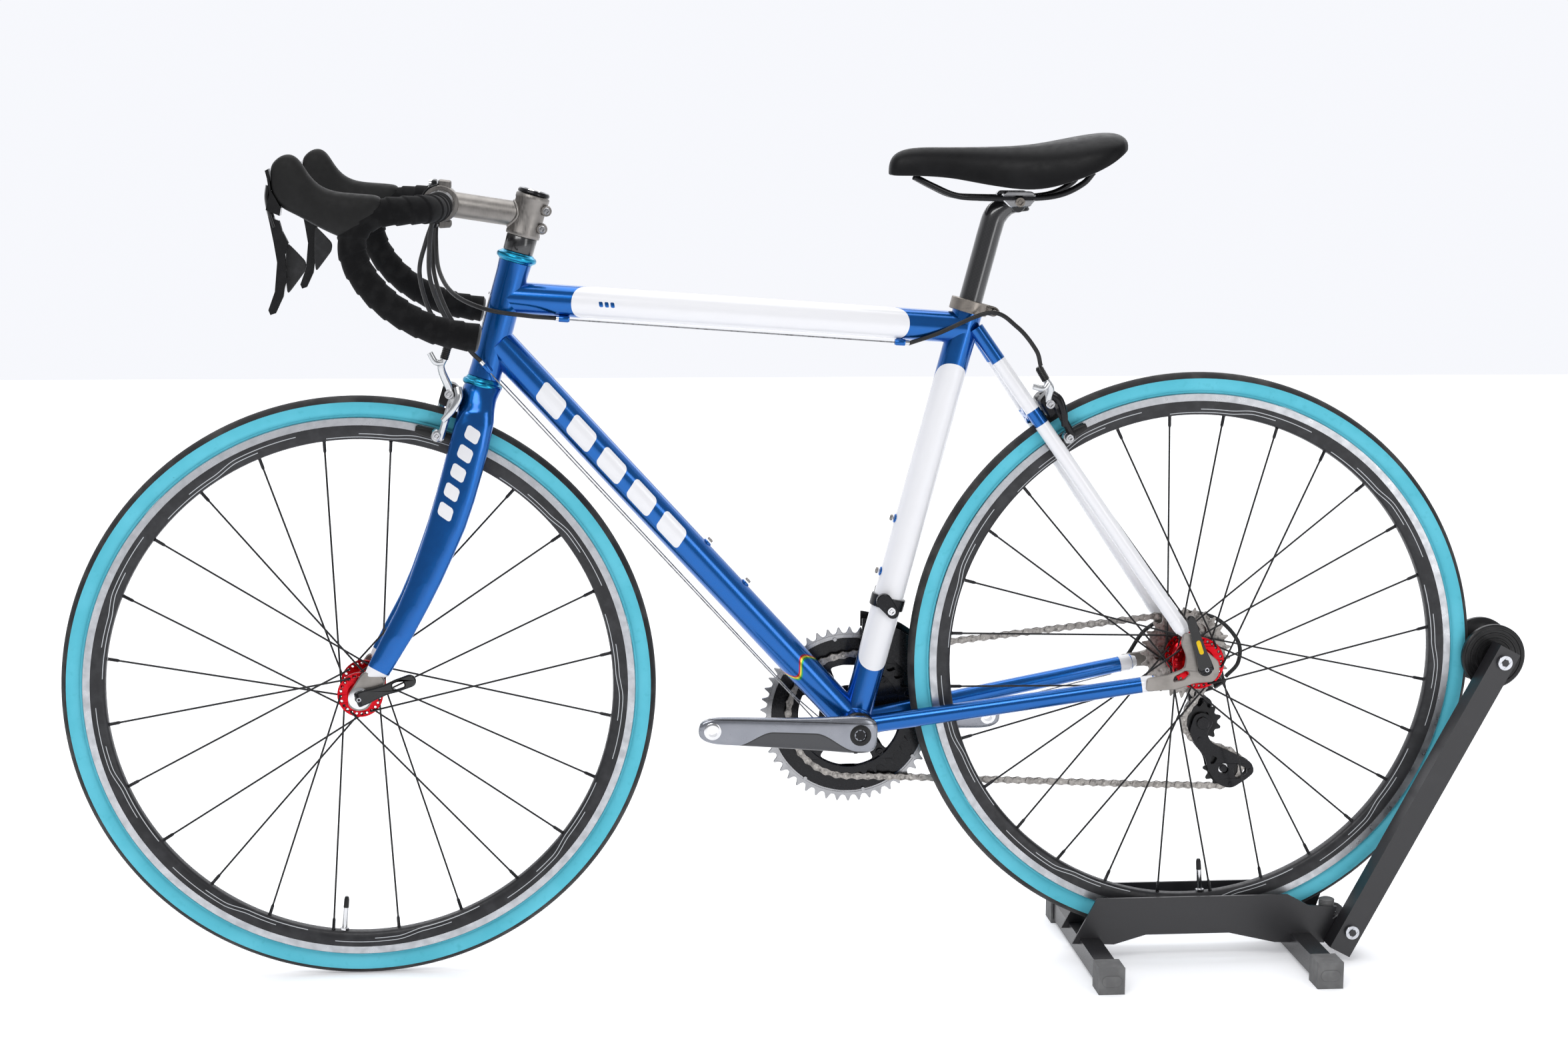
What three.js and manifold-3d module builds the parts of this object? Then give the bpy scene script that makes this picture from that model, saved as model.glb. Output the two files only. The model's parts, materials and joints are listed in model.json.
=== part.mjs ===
// Road bicycle held by its rear wheel in a fold-down display stand.
// Millimetres, +Z up. While drawing, X runs rearwards from the front axle, Y points to the chain side,
// and Z starts at the floor; the exported group is shifted so that its origin is bottom centre.
import * as THREE from 'three';
import { mergeVertices } from 'three/addons/utils/BufferGeometryUtils.js';
import Module from 'manifold-3d';

const wasm = await Module();
wasm.setup();

// ---------- driving dimensions ----------
const GAP = 0.3; // clearance between touching pieces
const TYRE_RADIUS = 335;
const TYRE_HALF_WIDTH = 12.5;
const WHEELBASE = 962;
const REAR_LIFT = 23; // how far the stand raises the rear wheel
const RIM = { outer: 311, track: 299, inner: 286, halfWidth: 10.3, innerHalfWidth: 6 };
const FRONT_AXLE = [0, 335];
const REAR_AXLE = [WHEELBASE, TYRE_RADIUS + REAR_LIFT];
const BOTTOM_BRACKET = [565, 284.5];
const FRONT_SPACING = 100;
const REAR_SPACING = 130;
const HEAD_ANGLE = THREE.MathUtils.degToRad(74.5);
const HEAD_BASE = [141, 685]; // steering axis at the lower headset cup
const SEAT_TUBE_TOP = [693, 771];
const CRANK_LENGTH = 170;
const CRANK_ANGLE = THREE.MathUtils.degToRad(3.2); // left arm points forwards, this much above level
const BAR_HALF_WIDTH = 210;
const TUBE_WALL = 1.6;
const BAR_CLAMP = [96, 884];
const CHAIN_HALF_THICKNESS = 4;
const CHAIN_HALF_WIDTH = 2.8;
const CHAIN_FRONT_Y = 41;
const CHAIN_REAR_Y = 30;
const SMALL_RING_RADIUS = 72.8; // pitch radii of what the chain runs on
const REAR_COG_RADIUS = 46.6;
const PULLEY_RADIUS = 22.2;
const UPPER_PULLEY = [986, 272];
const LOWER_PULLEY = [1013, 216];
const STAND_PLATE_Y = 30; // inner face of each cradle plate
const ARM_FOOT = [1150, 37];
const ARM_HEAD = [1320, 358];
const FOOT_REACH = 154;
const LENGTH_CENTRE = (ARM_HEAD[0] + 38 - TYRE_RADIUS) / 2; // middle of the whole length, on X

const WHEEL_SEGMENTS = 42;
const TUBE_SIDES = 12;

// ---------- materials ----------
const finish = (color, roughness, metalness) =>
  new THREE.MeshStandardMaterial({ color, roughness, metalness });
const bluePaint = finish(0x0f55b4, 0.25, 0.5);
const whitePaint = finish(0xe8ebef, 0.3, 0);
const titanium = finish(0x8d8880, 0.35, 1);
const tealAnodised = finish(0x2a93b8, 0.35, 0.8);
const redAnodised = finish(0xb50d1c, 0.25, 0.9);
const carbonBlack = finish(0x0b0b0d, 0.2, 0);
const tapeBlack = finish(0x1b1b1d, 0.9, 0);
const hoodRubber = finish(0x202022, 0.75, 0);
const saddleCover = finish(0x151517, 0.5, 0);
const steelRail = finish(0x2b2b2d, 0.4, 0.6);
const tyreRubber = finish(0x35b2c8, 0.8, 0);
const rimBlack = finish(0x202124, 0.5, 0.4);
const crankGrey = finish(0x75787c, 0.3, 0.8);
const ringBlack = finish(0x1b1c1e, 0.35, 0.5);
const cogSteel = finish(0x77726c, 0.4, 0.9);
const partBlack = finish(0x141416, 0.35, 0.3);
const calliperSilver = finish(0xb9bbbd, 0.25, 0.9);
const cableBlack = finish(0x131315, 0.6, 0);
const powderBlack = finish(0x111112, 0.55, 0.2);
const footRubber = finish(0x4b4c4f, 0.85, 0);

// ---------- geometry helpers ----------
function solid(geometry) {
  const plain = geometry.clone();
  plain.deleteAttribute('normal');
  plain.deleteAttribute('uv');
  const merged = mergeVertices(plain, 1e-3);
  const vertProperties = new Float32Array(merged.attributes.position.array);
  const triVerts = new Uint32Array(merged.index.array);
  const made = new wasm.Manifold(new wasm.Mesh({ numProp: 3, vertProperties, triVerts }));
  if (made.volume() > 0) return made;
  for (let i = 0; i < triVerts.length; i += 3) {
    [triVerts[i], triVerts[i + 1]] = [triVerts[i + 1], triVerts[i]];
  }
  return new wasm.Manifold(new wasm.Mesh({ numProp: 3, vertProperties, triVerts }));
}

const join = (...pieces) => pieces.reduce((sum, piece) => sum.add(piece));
const cut = (body, ...tools) => tools.reduce((rest, tool) => rest.subtract(tool), body);

function geometryOf(body) {
  const mesh = body.getMesh();
  const geometry = new THREE.BufferGeometry();
  geometry.setAttribute('position', new THREE.BufferAttribute(new Float32Array(mesh.vertProperties), 3));
  geometry.setIndex(new THREE.BufferAttribute(new Uint32Array(mesh.triVerts), 1));
  geometry.computeVertexNormals();
  return geometry;
}

const vec = (p) => new THREE.Vector3(p[0], p[1], p[2]);
const add = (a, b, k = 1) => a.map((v, i) => v + k * b[i]);
const at = ([x, z], y = 0) => [x, y, z];

/** A round bar from a to b, with its own radius at each end. */
function rod(a, b, radiusA, radiusB = radiusA, sides = TUBE_SIDES) {
  const from = vec(a);
  const to = vec(b);
  const along = to.clone().sub(from);
  const geometry = new THREE.CylinderGeometry(radiusB, radiusA, along.length(), sides);
  const turn = new THREE.Quaternion().setFromUnitVectors(new THREE.Vector3(0, 1, 0), along.normalize());
  geometry.applyQuaternion(turn);
  geometry.translate(...from.add(to).multiplyScalar(0.5).toArray());
  return solid(geometry);
}

/** A tube of one radius along a smooth curve through the points. */
function bentRod(points, radius, steps, sides = 8) {
  const corners = Array.from({ length: sides }, (_, i) => (2 * Math.PI * i) / sides);
  const section = outline(corners.map((a) => [radius * Math.cos(a), radius * Math.sin(a)]));
  const path = new THREE.CatmullRomCurve3(points.map(vec), false, 'centripetal');
  const options = { steps, extrudePath: path, bevelEnabled: false };
  return solid(new THREE.ExtrudeGeometry(section, options));
}

/** A turned piece about a line along Y through (x, z); the profile lists [radius, y]. */
function turned(profile, [x, z], segments = 28) {
  const points = profile.map(([r, y]) => new THREE.Vector2(r, y));
  const geometry = new THREE.LatheGeometry(points, segments);
  geometry.translate(x, 0, z);
  return solid(geometry);
}

function block(low, high) {
  const size = high.map((v, i) => v - low[i]);
  const geometry = new THREE.BoxGeometry(...size);
  geometry.translate(...low.map((v, i) => (v + high[i]) / 2));
  return solid(geometry);
}

function outline(points) {
  return new THREE.Shape(points.map(([u, v]) => new THREE.Vector2(u, v)));
}

/** A plate with a side outline in X and Z, from y0 to y1. */
function sidePlate(shape, y0, y1, curveSegments = 5) {
  const options = { depth: y1 - y0, bevelEnabled: false, curveSegments };
  const geometry = new THREE.ExtrudeGeometry(shape, options);
  geometry.rotateX(Math.PI / 2);
  geometry.translate(0, y1, 0);
  return solid(geometry);
}

/** A plate with a plan outline in X and Y, from z0 to z1. */
function planPlate(shape, z0, z1) {
  const geometry = new THREE.ExtrudeGeometry(shape, { depth: z1 - z0, bevelEnabled: false, curveSegments: 8 });
  geometry.translate(0, 0, z0);
  return solid(geometry);
}

/** A plate with a front outline in Y and Z, from x0 to x1. */
function frontPlate(shape, x0, x1) {
  const geometry = new THREE.ExtrudeGeometry(shape, { depth: x1 - x0, bevelEnabled: false, curveSegments: 8 });
  geometry.rotateX(Math.PI / 2);
  geometry.rotateZ(Math.PI / 2);
  geometry.translate(x0, 0, 0);
  return solid(geometry);
}

/** Two round ends joined by their straight tangents: a link plate in X and Z. */
function linkOutline([ax, az], ra, [bx, bz], rb) {
  const angle = Math.atan2(bz - az, bx - ax);
  const lean = Math.acos((ra - rb) / Math.hypot(bx - ax, bz - az));
  const shape = new THREE.Shape();
  shape.absarc(ax, az, ra, angle + lean, angle - lean + 2 * Math.PI, false);
  shape.absarc(bx, bz, rb, angle - lean, angle + lean, false);
  shape.closePath();
  return shape;
}

function meshOf(name, body, material) {
  const mesh = new THREE.Mesh(geometryOf(body), material);
  mesh.name = name;
  return mesh;
}

// ---------- frame ----------
const headDirection = [Math.cos(HEAD_ANGLE), 0, Math.sin(HEAD_ANGLE)];
/** The point of the steering axis that is `up` millimetres along it from the lower cup. */
const onHead = (up) => add(at(HEAD_BASE), headDirection, up);
const HEAD_TUBE_SPAN = [5, 139];
const HEAD_RADIUS = 18;
const STEERER_RADIUS = 14.3;
const seatDirection = new THREE.Vector2(
  SEAT_TUBE_TOP[0] - BOTTOM_BRACKET[0],
  SEAT_TUBE_TOP[1] - BOTTOM_BRACKET[1],
).normalize();
const onSeat = (up) => add(at(SEAT_TUBE_TOP), [seatDirection.x, 0, seatDirection.y], up);
const SEAT_RADIUS = 17.3;
const POST_RADIUS = 13.6;
const SHELL = { radius: 20, half: 34, bore: 13 };
const TOP_TUBE = { radius: 18, head: [166, 780], seat: [688, 744.5] };
const DOWN_TUBE = { radius: 19, head: [154, 733], foot: BOTTOM_BRACKET };
const SEATSTAY = { top: [699, 745], topY: 12, end: [936, 402], endY: 61, radius: 8.5 };
const CHAINSTAY = { start: [583, 287], startY: 17, end: [905, 340], endY: 61, radius: 9.5 };
const DROPOUT_Y = [65.3, 71];
const HANGER = [974, 331];

const shellCutter = rod(at(BOTTOM_BRACKET, -60), at(BOTTOM_BRACKET, 60), SHELL.radius + GAP, undefined, 20);
const seatCutter = rod(at(BOTTOM_BRACKET), onSeat(30), SEAT_RADIUS + GAP);

function headTube() {
  const [low, high] = HEAD_TUBE_SPAN;
  return cut(
    rod(onHead(low), onHead(high), HEAD_RADIUS),
    rod(onHead(low - 5), onHead(high + 5), STEERER_RADIUS + 1.5),
  );
}

const headCutter = rod(onHead(-20), onHead(160), HEAD_RADIUS + GAP);

function topTube() {
  const tube = rod(at(TOP_TUBE.head), at(TOP_TUBE.seat), TOP_TUBE.radius);
  const bore = rod(at(TOP_TUBE.head), at(TOP_TUBE.seat), TOP_TUBE.radius - TUBE_WALL);
  return cut(tube, bore, headCutter, seatCutter);
}

function downTube() {
  const tube = rod(at(DOWN_TUBE.head), at(DOWN_TUBE.foot), DOWN_TUBE.radius);
  const overTopTube = rod(at(TOP_TUBE.head), at(TOP_TUBE.seat), TOP_TUBE.radius + GAP);
  const bore = rod(at(DOWN_TUBE.head), at(DOWN_TUBE.foot), DOWN_TUBE.radius - TUBE_WALL);
  return cut(tube, bore, headCutter, overTopTube, seatCutter, shellCutter);
}

/** Seat tube, bottom bracket shell and the front derailleur's band, in one. */
function seatTube() {
  const shell = rod(at(BOTTOM_BRACKET, -SHELL.half), at(BOTTOM_BRACKET, SHELL.half), SHELL.radius, undefined, 20);
  const bore = rod(at(BOTTOM_BRACKET, -50), at(BOTTOM_BRACKET, 50), SHELL.bore, undefined, 16);
  const postBore = rod(onSeat(-72), onSeat(5), POST_RADIUS + GAP);
  const lowerBore = rod(at(BOTTOM_BRACKET), onSeat(-70), SEAT_RADIUS - TUBE_WALL);
  const band = rod(onSeat(-372), onSeat(-348), SEAT_RADIUS + 2.5);
  return cut(join(rod(at(BOTTOM_BRACKET), onSeat(0), SEAT_RADIUS), shell, band), bore, postBore, lowerBore);
}

/** One chainstay with its dropout; side is -1 for the left and 1 for the chain side. */
function chainstay(side) {
  const stay = cut(
    rod(at(CHAINSTAY.start, side * CHAINSTAY.startY), at(CHAINSTAY.end, side * CHAINSTAY.endY), 10.5, 9),
    shellCutter,
    seatCutter,
  );
  const [near, far] = DROPOUT_Y;
  const y = side > 0 ? [near, far] : [-far, -near];
  const stub = linkOutline([898, 339], 8, REAR_AXLE, 17);
  const arm = linkOutline([941, 394.5], 6.5, REAR_AXLE, 15);
  let body = join(stay, sidePlate(stub, ...y), sidePlate(arm, ...y));
  if (side > 0) body = join(body, sidePlate(linkOutline(HANGER, 9, REAR_AXLE, 15), ...y));
  const axleSlot = rod(at(REAR_AXLE, -90), at(REAR_AXLE, 90), 3.2, undefined, 10);
  return cut(body, axleSlot);
}

function seatstays() {
  const stays = [-1, 1].map((side) =>
    rod(at(SEATSTAY.top, side * SEATSTAY.topY), at(SEATSTAY.end, side * SEATSTAY.endY), SEATSTAY.radius));
  const bridge = rod([765, -26, 645.5], [765, 26, 645.5], 7);
  const plates = [-1, 1].map((side) =>
    block([925, side > 0 ? DROPOUT_Y[0] - GAP : -80, 380], [960, side > 0 ? 80 : -DROPOUT_Y[0] + GAP, 401]));
  return cut(join(...stays, bridge), seatCutter, ...plates);
}

function headsetCup(low, high, flare) {
  const cup = join(
    rod(onHead(low), onHead(high), HEAD_RADIUS + 3, HEAD_RADIUS + 3),
    rod(onHead(flare[0]), onHead(flare[1]), 22.5, 22.5),
  );
  return cut(cup, rod(onHead(low - 5), onHead(high + 5), STEERER_RADIUS + 1));
}

function seatClamp() {
  const ring = rod(onSeat(-9), onSeat(9), SEAT_RADIUS + 4.5, undefined, 18);
  const ears = block([714, -8, 768], [732, 8, 784]);
  return cut(join(ring, ears), rod(onSeat(-30), onSeat(0.2), SEAT_RADIUS + GAP), rod(onSeat(-30), onSeat(30), 14));
}

// ---------- seat ----------
const SADDLE_TOP = [[600, 922], [606, 936], [620, 947], [680, 950], [757, 952], [800, 960], [848, 968], [864, 962]];
const SADDLE_BASE = [[868, 952], [850, 934], [810, 910], [770, 898], [742, 897], [700, 909], [647, 916], [603, 915]];
const POST_HEAD = [745, 884];

function seatpost() {
  const shaft = rod(onSeat(-60), onSeat(92), POST_RADIUS);
  const neck = rod(onSeat(84), at([738, 878]), POST_RADIUS, 12);
  const cradle = rod(at([733, 880], -17), at([733, 880], 17), 9);
  return join(shaft, neck, cradle);
}

function saddleRails() {
  const side = (sign) => bentRod(
    [[640, sign * 8, 909], [668, sign * 15, 899], [700, sign * 22, 893], [760, sign * 22, 893], [800, sign * 24, 899]],
    3.5, 10, 6);
  const yoke = block([722, -26, 889.6], [770, 26, 900]);
  return cut(join(side(-1), side(1), yoke), saddle());
}

function saddle() {
  const side = sidePlate(outline([...SADDLE_TOP, ...SADDLE_BASE]), -75, 75);
  const half = [[599, 10], [604, 17], [625, 20], [700, 25], [745, 36], [790, 58], [825, 66], [855, 62], [868, 40]];
  const plan = outline([...half, ...half.map(([x, y]) => [x, -y]).reverse()]);
  const shell = side.intersect(planPlate(plan, 880, 980));
  const hollow = outline([[640, 10], [700, 18], [745, 28], [790, 48], [825, 54], [825, -54], [790, -48], [745, -28],
    [700, -18], [640, -10]]);
  return cut(shell, planPlate(hollow, 880, 918));
}

// ---------- fork, stem and bars ----------
const BLADE = { crownY: 30, tipY: 53.2, thickness: 15 };

/** The side outline swept forward to the axle, cut by a front outline with one leg each side of the wheel. */
function fork() {
  const front = [[122, 684], [117, 671], [109, 642], [101, 612], [93, 582], [76, 523], [55, 464], [26, 404], [-9, 345]];
  const back = [[12, 338], [44, 375], [62, 404], [93, 464], [120, 523], [139, 582], [153, 642], [156, 664], [160, 674]];
  const side = sidePlate(outline([...front, ...back]), -70, 70);
  const { crownY, tipY, thickness } = BLADE;
  const legs = outline([
    [0, 684], [20, 684], [36, 668], [crownY + 11, 600], [tipY + 5, 400], [tipY + 2.6, 362], [tipY + 2.6, 320],
    [tipY - 2.7, 320], [tipY - 2.7, 356], [tipY - 5, 400], [crownY - 9.5, 600], [crownY - 12, 660], [0, 664],
    [-crownY + 12, 660], [-crownY + 9.5, 600], [-tipY + 5, 400], [-tipY + 2.7, 356], [-tipY + 2.7, 320],
    [-tipY - 2.6, 320], [-tipY - 2.6, 362], [-tipY - 5, 400], [-crownY - 11, 600], [-36, 668], [-20, 684],
  ]);
  const blades = side.intersect(frontPlate(legs, -40, 200));
  const tips = [-1, 1].map((s) =>
    rod(at(FRONT_AXLE, s * (FRONT_SPACING / 2 + 0.5)), at(FRONT_AXLE, s * (FRONT_SPACING / 2 + 5.8)), thickness));
  const steerer = rod(onHead(-12), onHead(214), STEERER_RADIUS);
  const crownRace = rod(onHead(-14), onHead(-9 - GAP), 20);
  const cupRoom = rod(onHead(-9 - GAP), onHead(60), 40);
  const slots = rod(at(FRONT_AXLE, -80), at(FRONT_AXLE, 80), 3.2, undefined, 10);
  return cut(join(cut(blades, cupRoom), ...tips, steerer, crownRace), slots, frontWheelRoom());
}

/** Room for the tyre under the crown. */
function frontWheelRoom() {
  return turned([[0, -16], [342, -16], [342, 16], [0, 16]], FRONT_AXLE, 48);
}

function stem() {
  const clampLow = 169;
  const clampHigh = 216;
  const clamp = rod(onHead(clampLow), onHead(clampHigh), 19);
  const spacer = rod(onHead(150.5), onHead(clampLow + 1), 17);
  const neck = rod(add(onHead(194), headDirection, 0), at(BAR_CLAMP), 14.3);
  const barSleeve = rod(at(BAR_CLAMP, -20), at(BAR_CLAMP, 20), 21.5);
  const pinch = block([205, -9, 850], [222, 9, 884]);
  const bore = rod(onHead(140), onHead(214.5), STEERER_RADIUS + GAP);
  const barBore = rod(at(BAR_CLAMP, -40), at(BAR_CLAMP, 40), 15.9 + GAP, undefined, 18);
  return cut(join(clamp, spacer, neck, barSleeve, pinch), bore, barBore);
}

/** Centre line of one side of the drop bar, its Y counted from the drop's own plane. */
const barLine = (side) => [
  [96, -150, 884], [96, -90, 884], [94, -50, 884], [84, -21, 884], [62, -6, 883], [36, -1, 880], [17, 0, 868],
  [10, 0, 848], [17, 0, 822], [38, 0, 794], [66, 0, 773], [98, 0, 759], [138, 0, 751],
].map(([x, y, z]) => [x, side * (BAR_HALF_WIDTH + y), z]);

const BAR_RADIUS = 11.6;
const TAPE_RADIUS = 14.8;
const TAPE_START = 84; // how far each side of the stem the tape begins
/** A tube round one side of the bar, from beside the stem to the end of the drop. */
const barTube = (side, radius) => bentRod(barLine(side), radius, 20);

function handlebar() {
  const middle = rod(at(BAR_CLAMP, -66), at(BAR_CLAMP, 66), 15.9, undefined, 16);
  return join(middle, ...[-1, 1].map((side) => barTube(side, BAR_RADIUS)));
}

function barTape(side) {
  const bare = block([0, -TAPE_START, 800], [140, TAPE_START, 960]);
  const barEnd = block([134, -260, 700], [180, 260, 800]);
  return cut(barTube(side, TAPE_RADIUS), barTube(side, BAR_RADIUS + 2 * GAP), bare, barEnd);
}

/** The rubber hood and the lever body under it, over the front bend of the bar. */
function hood(side) {
  const profile = outline([
    [-68, 905], [-70, 925], [-64, 936], [-47, 942], [-35, 936], [-26, 918], [-12, 906], [14, 900], [42, 899],
    [48, 892], [40, 872], [26, 850], [4, 844], [-6, 856], [-26, 868], [-45, 878], [-58, 888],
  ]);
  const half = 15;
  const plan = outline([[-72, 198], [-58, 191.5], [20, 192], [50, 195], [50, 225], [20, 228], [-58, 228.5], [-72, 222]]);
  const body = sidePlate(profile, 210 - half - 4, 210 + half + 4).intersect(planPlate(plan, 800, 980));
  const placed = side > 0 ? body : body.mirror([0, 1, 0]);
  return cut(placed, barTube(side, TAPE_RADIUS + 2 * GAP));
}

function leverBracket(side) {
  const body = sidePlate(outline([[-74, 916], [-72, 900], [-76, 884], [-62, 878], [-60.5, 886], [-70.4, 904],
    [-72.2, 926], [-76, 924]]), 200, 220);
  return side > 0 ? body : body.mirror([0, 1, 0]);
}

function brakeLever(side) {
  const shape = outline([[-74, 877], [-63, 873], [-60, 862], [-54, 850], [-58, 838], [-57, 815], [-60, 795],
    [-68, 778], [-74, 776], [-76, 781], [-69, 800], [-66, 830], [-69, 850]]);
  const body = sidePlate(shape, 205, 215);
  return side > 0 ? body : body.mirror([0, 1, 0]);
}

function shiftPaddle(side) {
  const shape = outline([[-56.4, 850], [-48, 842], [-36, 830], [-38, 820], [-55, 794], [-56.5, 812], [-57.2, 838]]);
  const body = sidePlate(shape, 199, 204.5);
  return side > 0 ? body : body.mirror([0, 1, 0]);
}

// ---------- brakes ----------
const BRAKES = {
  front: { axle: FRONT_AXLE, bolt: [103, 672], lean: 1 },
  rear: { axle: REAR_AXLE, bolt: [784, 658], lean: -1 },
};
const PAD_RADIUS = 305.5;
const PAD_GAP = 2.4;

/**
 * One arm of a calliper. It is drawn upright, with the bolt over the wheel's centre, then turned into place
 * about the axle. The two arms sit one behind the other.
 */
function calliperArm({ axle, bolt, lean }, side) {
  const reach = Math.hypot(bolt[0] - axle[0], bolt[1] - axle[1]);
  const depth = side > 0 ? [0.3, 8] : [-8, -0.3];
  const arm = new THREE.Shape();
  const padIn = RIM.halfWidth + PAD_GAP;
  arm.moveTo(side * -12, reach + 10);
  arm.lineTo(side * 14, reach + 12);
  arm.lineTo(side * 30, reach + 2);
  arm.lineTo(side * 33, reach - 18);
  arm.lineTo(side * 27, PAD_RADIUS - 5);
  arm.lineTo(side * (padIn + 4), PAD_RADIUS - 5);
  arm.lineTo(side * (padIn + 4), PAD_RADIUS + 5);
  arm.lineTo(side * 22, reach - 20);
  arm.lineTo(side * 18, reach - 6);
  arm.lineTo(side * -12, reach - 4);
  arm.closePath();
  const y = [side * padIn, side * (padIn + 6)].sort((a, b) => a - b);
  const pad = block([-25, y[0], PAD_RADIUS - 5], [25, y[1], PAD_RADIUS + 5]);
  const upright = join(frontPlate(arm, ...depth), pad);
  const angle = Math.atan2(bolt[0] - axle[0], bolt[1] - axle[1]);
  const quarter = upright.rotate([0, THREE.MathUtils.radToDeg(angle), 0]);
  const placed = quarter.translate([axle[0], 0, axle[1]]);
  return lean > 0 ? cut(placed, frontWheelRoom()) : placed;
}

// ---------- wheels ----------
function tyre(axle) {
  const w = TYRE_HALF_WIDTH;
  const profile = [[RIM.outer + GAP, -9], [320, -w], [331, -7.5], [TYRE_RADIUS, 0], [331, 7.5], [320, w],
    [RIM.outer + GAP, 9], [RIM.outer + GAP, -9]];
  return turned(profile, axle, WHEEL_SEGMENTS);
}

function rim(axle) {
  const { outer, track, inner, halfWidth, innerHalfWidth } = RIM;
  const profile = [[outer, -halfWidth], [outer, halfWidth], [track, halfWidth], [inner, innerHalfWidth],
    [inner, -innerHalfWidth], [track, -halfWidth], [outer, -halfWidth]];
  return turned(profile, axle, WHEEL_SEGMENTS);
}

/** Hub shell with its spokes, laced so that neighbours on a flange leave it in opposite directions. */
function hub(axle, profile, flanges, spokeCount) {
  const perSide = spokeCount / 2;
  const spokes = [];
  flanges.forEach(({ y, radius }, which) => {
    for (let i = 0; i < perSide; i += 1) {
      const atRim = (2 * Math.PI * (i + 0.5 * which + 0.25)) / perSide;
      const atFlange = atRim + (i % 2 ? 1 : -1) * 1.15;
      const across = y + (i % 2 ? 2 : -2);
      const inner = [axle[0] + radius * Math.cos(atFlange), across, axle[1] + radius * Math.sin(atFlange)];
      const r = RIM.inner - 1.2;
      const outer = [axle[0] + r * Math.cos(atRim), (i % 2 ? 2 : -2), axle[1] + r * Math.sin(atRim)];
      spokes.push(rod(inner, outer, 1, 1, 3));
    }
  });
  return join(turned(profile, axle, 18), ...spokes);
}

const FRONT_HUB = [[0, -50], [9, -50], [9, -39], [24, -38], [24, -32], [11, -27], [11, 27], [24, 32], [24, 38],
  [9, 39], [9, 50], [0, 50]];
const REAR_HUB = [[0, -65], [10, -65], [10, -42], [30, -41], [30, -34], [15, -29], [15, 8], [26, 11], [26, 18],
  [8, 18.5], [8, 65], [0, 65]];

function cassette() {
  const profile = [[8.5, 20], [50, 20], [50, 25.5], [42, 26], [42, 34.5], [33, 43], [24, 52], [24, 60], [8.5, 60],
    [8.5, 20]];
  return turned(profile, REAR_AXLE, 20);
}

const RELEASE = { thickness: 9, root: 9, tip: 6 }; // quick-release lever: depth, and half width at each end

/** A quick-release lever from its pivot barrel across the axle towards `tip`, its inner face at -y. */
function quickRelease(axle, tip, y) {
  const middle = -y - RELEASE.thickness / 2;
  const along = new THREE.Vector2(tip[0] - axle[0], tip[1] - axle[1]).normalize();
  const beside = ([x, z], reach) => [x - along.y * reach, z + along.x * reach];
  const nose = [tip[0] + along.x * RELEASE.tip, tip[1] + along.y * RELEASE.tip];
  const blade = outline([beside(axle, RELEASE.root), beside(axle, -RELEASE.root), beside(tip, -RELEASE.tip),
    beside(nose, -RELEASE.tip / 2), beside(nose, RELEASE.tip / 2), beside(tip, RELEASE.tip)]);
  const barrel = rod(at(beside(axle, RELEASE.root), middle), at(beside(axle, -RELEASE.root), middle),
    RELEASE.thickness / 2);
  return join(sidePlate(blade, -y - RELEASE.thickness, -y), barrel);
}

// ---------- crankset and chain ----------
const crankDirection = [-Math.cos(CRANK_ANGLE), Math.sin(CRANK_ANGLE)];
const pedalCentre = (sign) => BOTTOM_BRACKET.map((v, i) => v + sign * CRANK_LENGTH * crankDirection[i]);

/** A crank arm: thick at the bottom bracket, standing further out at the pedal eye. */
function crankArm(sign, inner) {
  const eye = pedalCentre(sign);
  const side = sidePlate(linkOutline(BOTTOM_BRACKET, 23, eye, 17), -90, 90);
  const [bx] = BOTTOM_BRACKET;
  const out = sign * (CRANK_LENGTH + 20) * crankDirection[0];
  const plan = outline([[bx - Math.sign(out) * 25, inner], [bx - Math.sign(out) * 25, inner + 15],
    [bx + out * 0.35, inner + 17], [bx + out, inner + 26], [bx + out, inner + 13], [bx + out * 0.25, inner]]);
  const placed = sign < 0 ? planPlate(plan, 200, 380) : planPlate(plan, 200, 380).mirror([0, 1, 0]);
  const eyeHole = rod(at(eye, -90), at(eye, 90), 7, undefined, 12);
  return cut(side.intersect(placed), eyeHole);
}

function leftCrank() {
  return join(crankArm(1, 47), rod(at(BOTTOM_BRACKET, -50), at(BOTTOM_BRACKET, 42.5), 12, undefined, 16));
}

function rightCrank() {
  const spider = turned([[0, 43], [57, 43], [57, 46.5], [0, 46.5]], BOTTOM_BRACKET, 28);
  return join(crankArm(-1, 50.5), spider, rod(at(BOTTOM_BRACKET, 46), at(BOTTOM_BRACKET, 52), 20, undefined, 20));
}

function ring(innerRadius, outerRadius, y0, y1) {
  return turned([[innerRadius, y0], [outerRadius, y0], [outerRadius, y1], [innerRadius, y1], [innerRadius, y0]],
    BOTTOM_BRACKET, 32);
}

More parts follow.
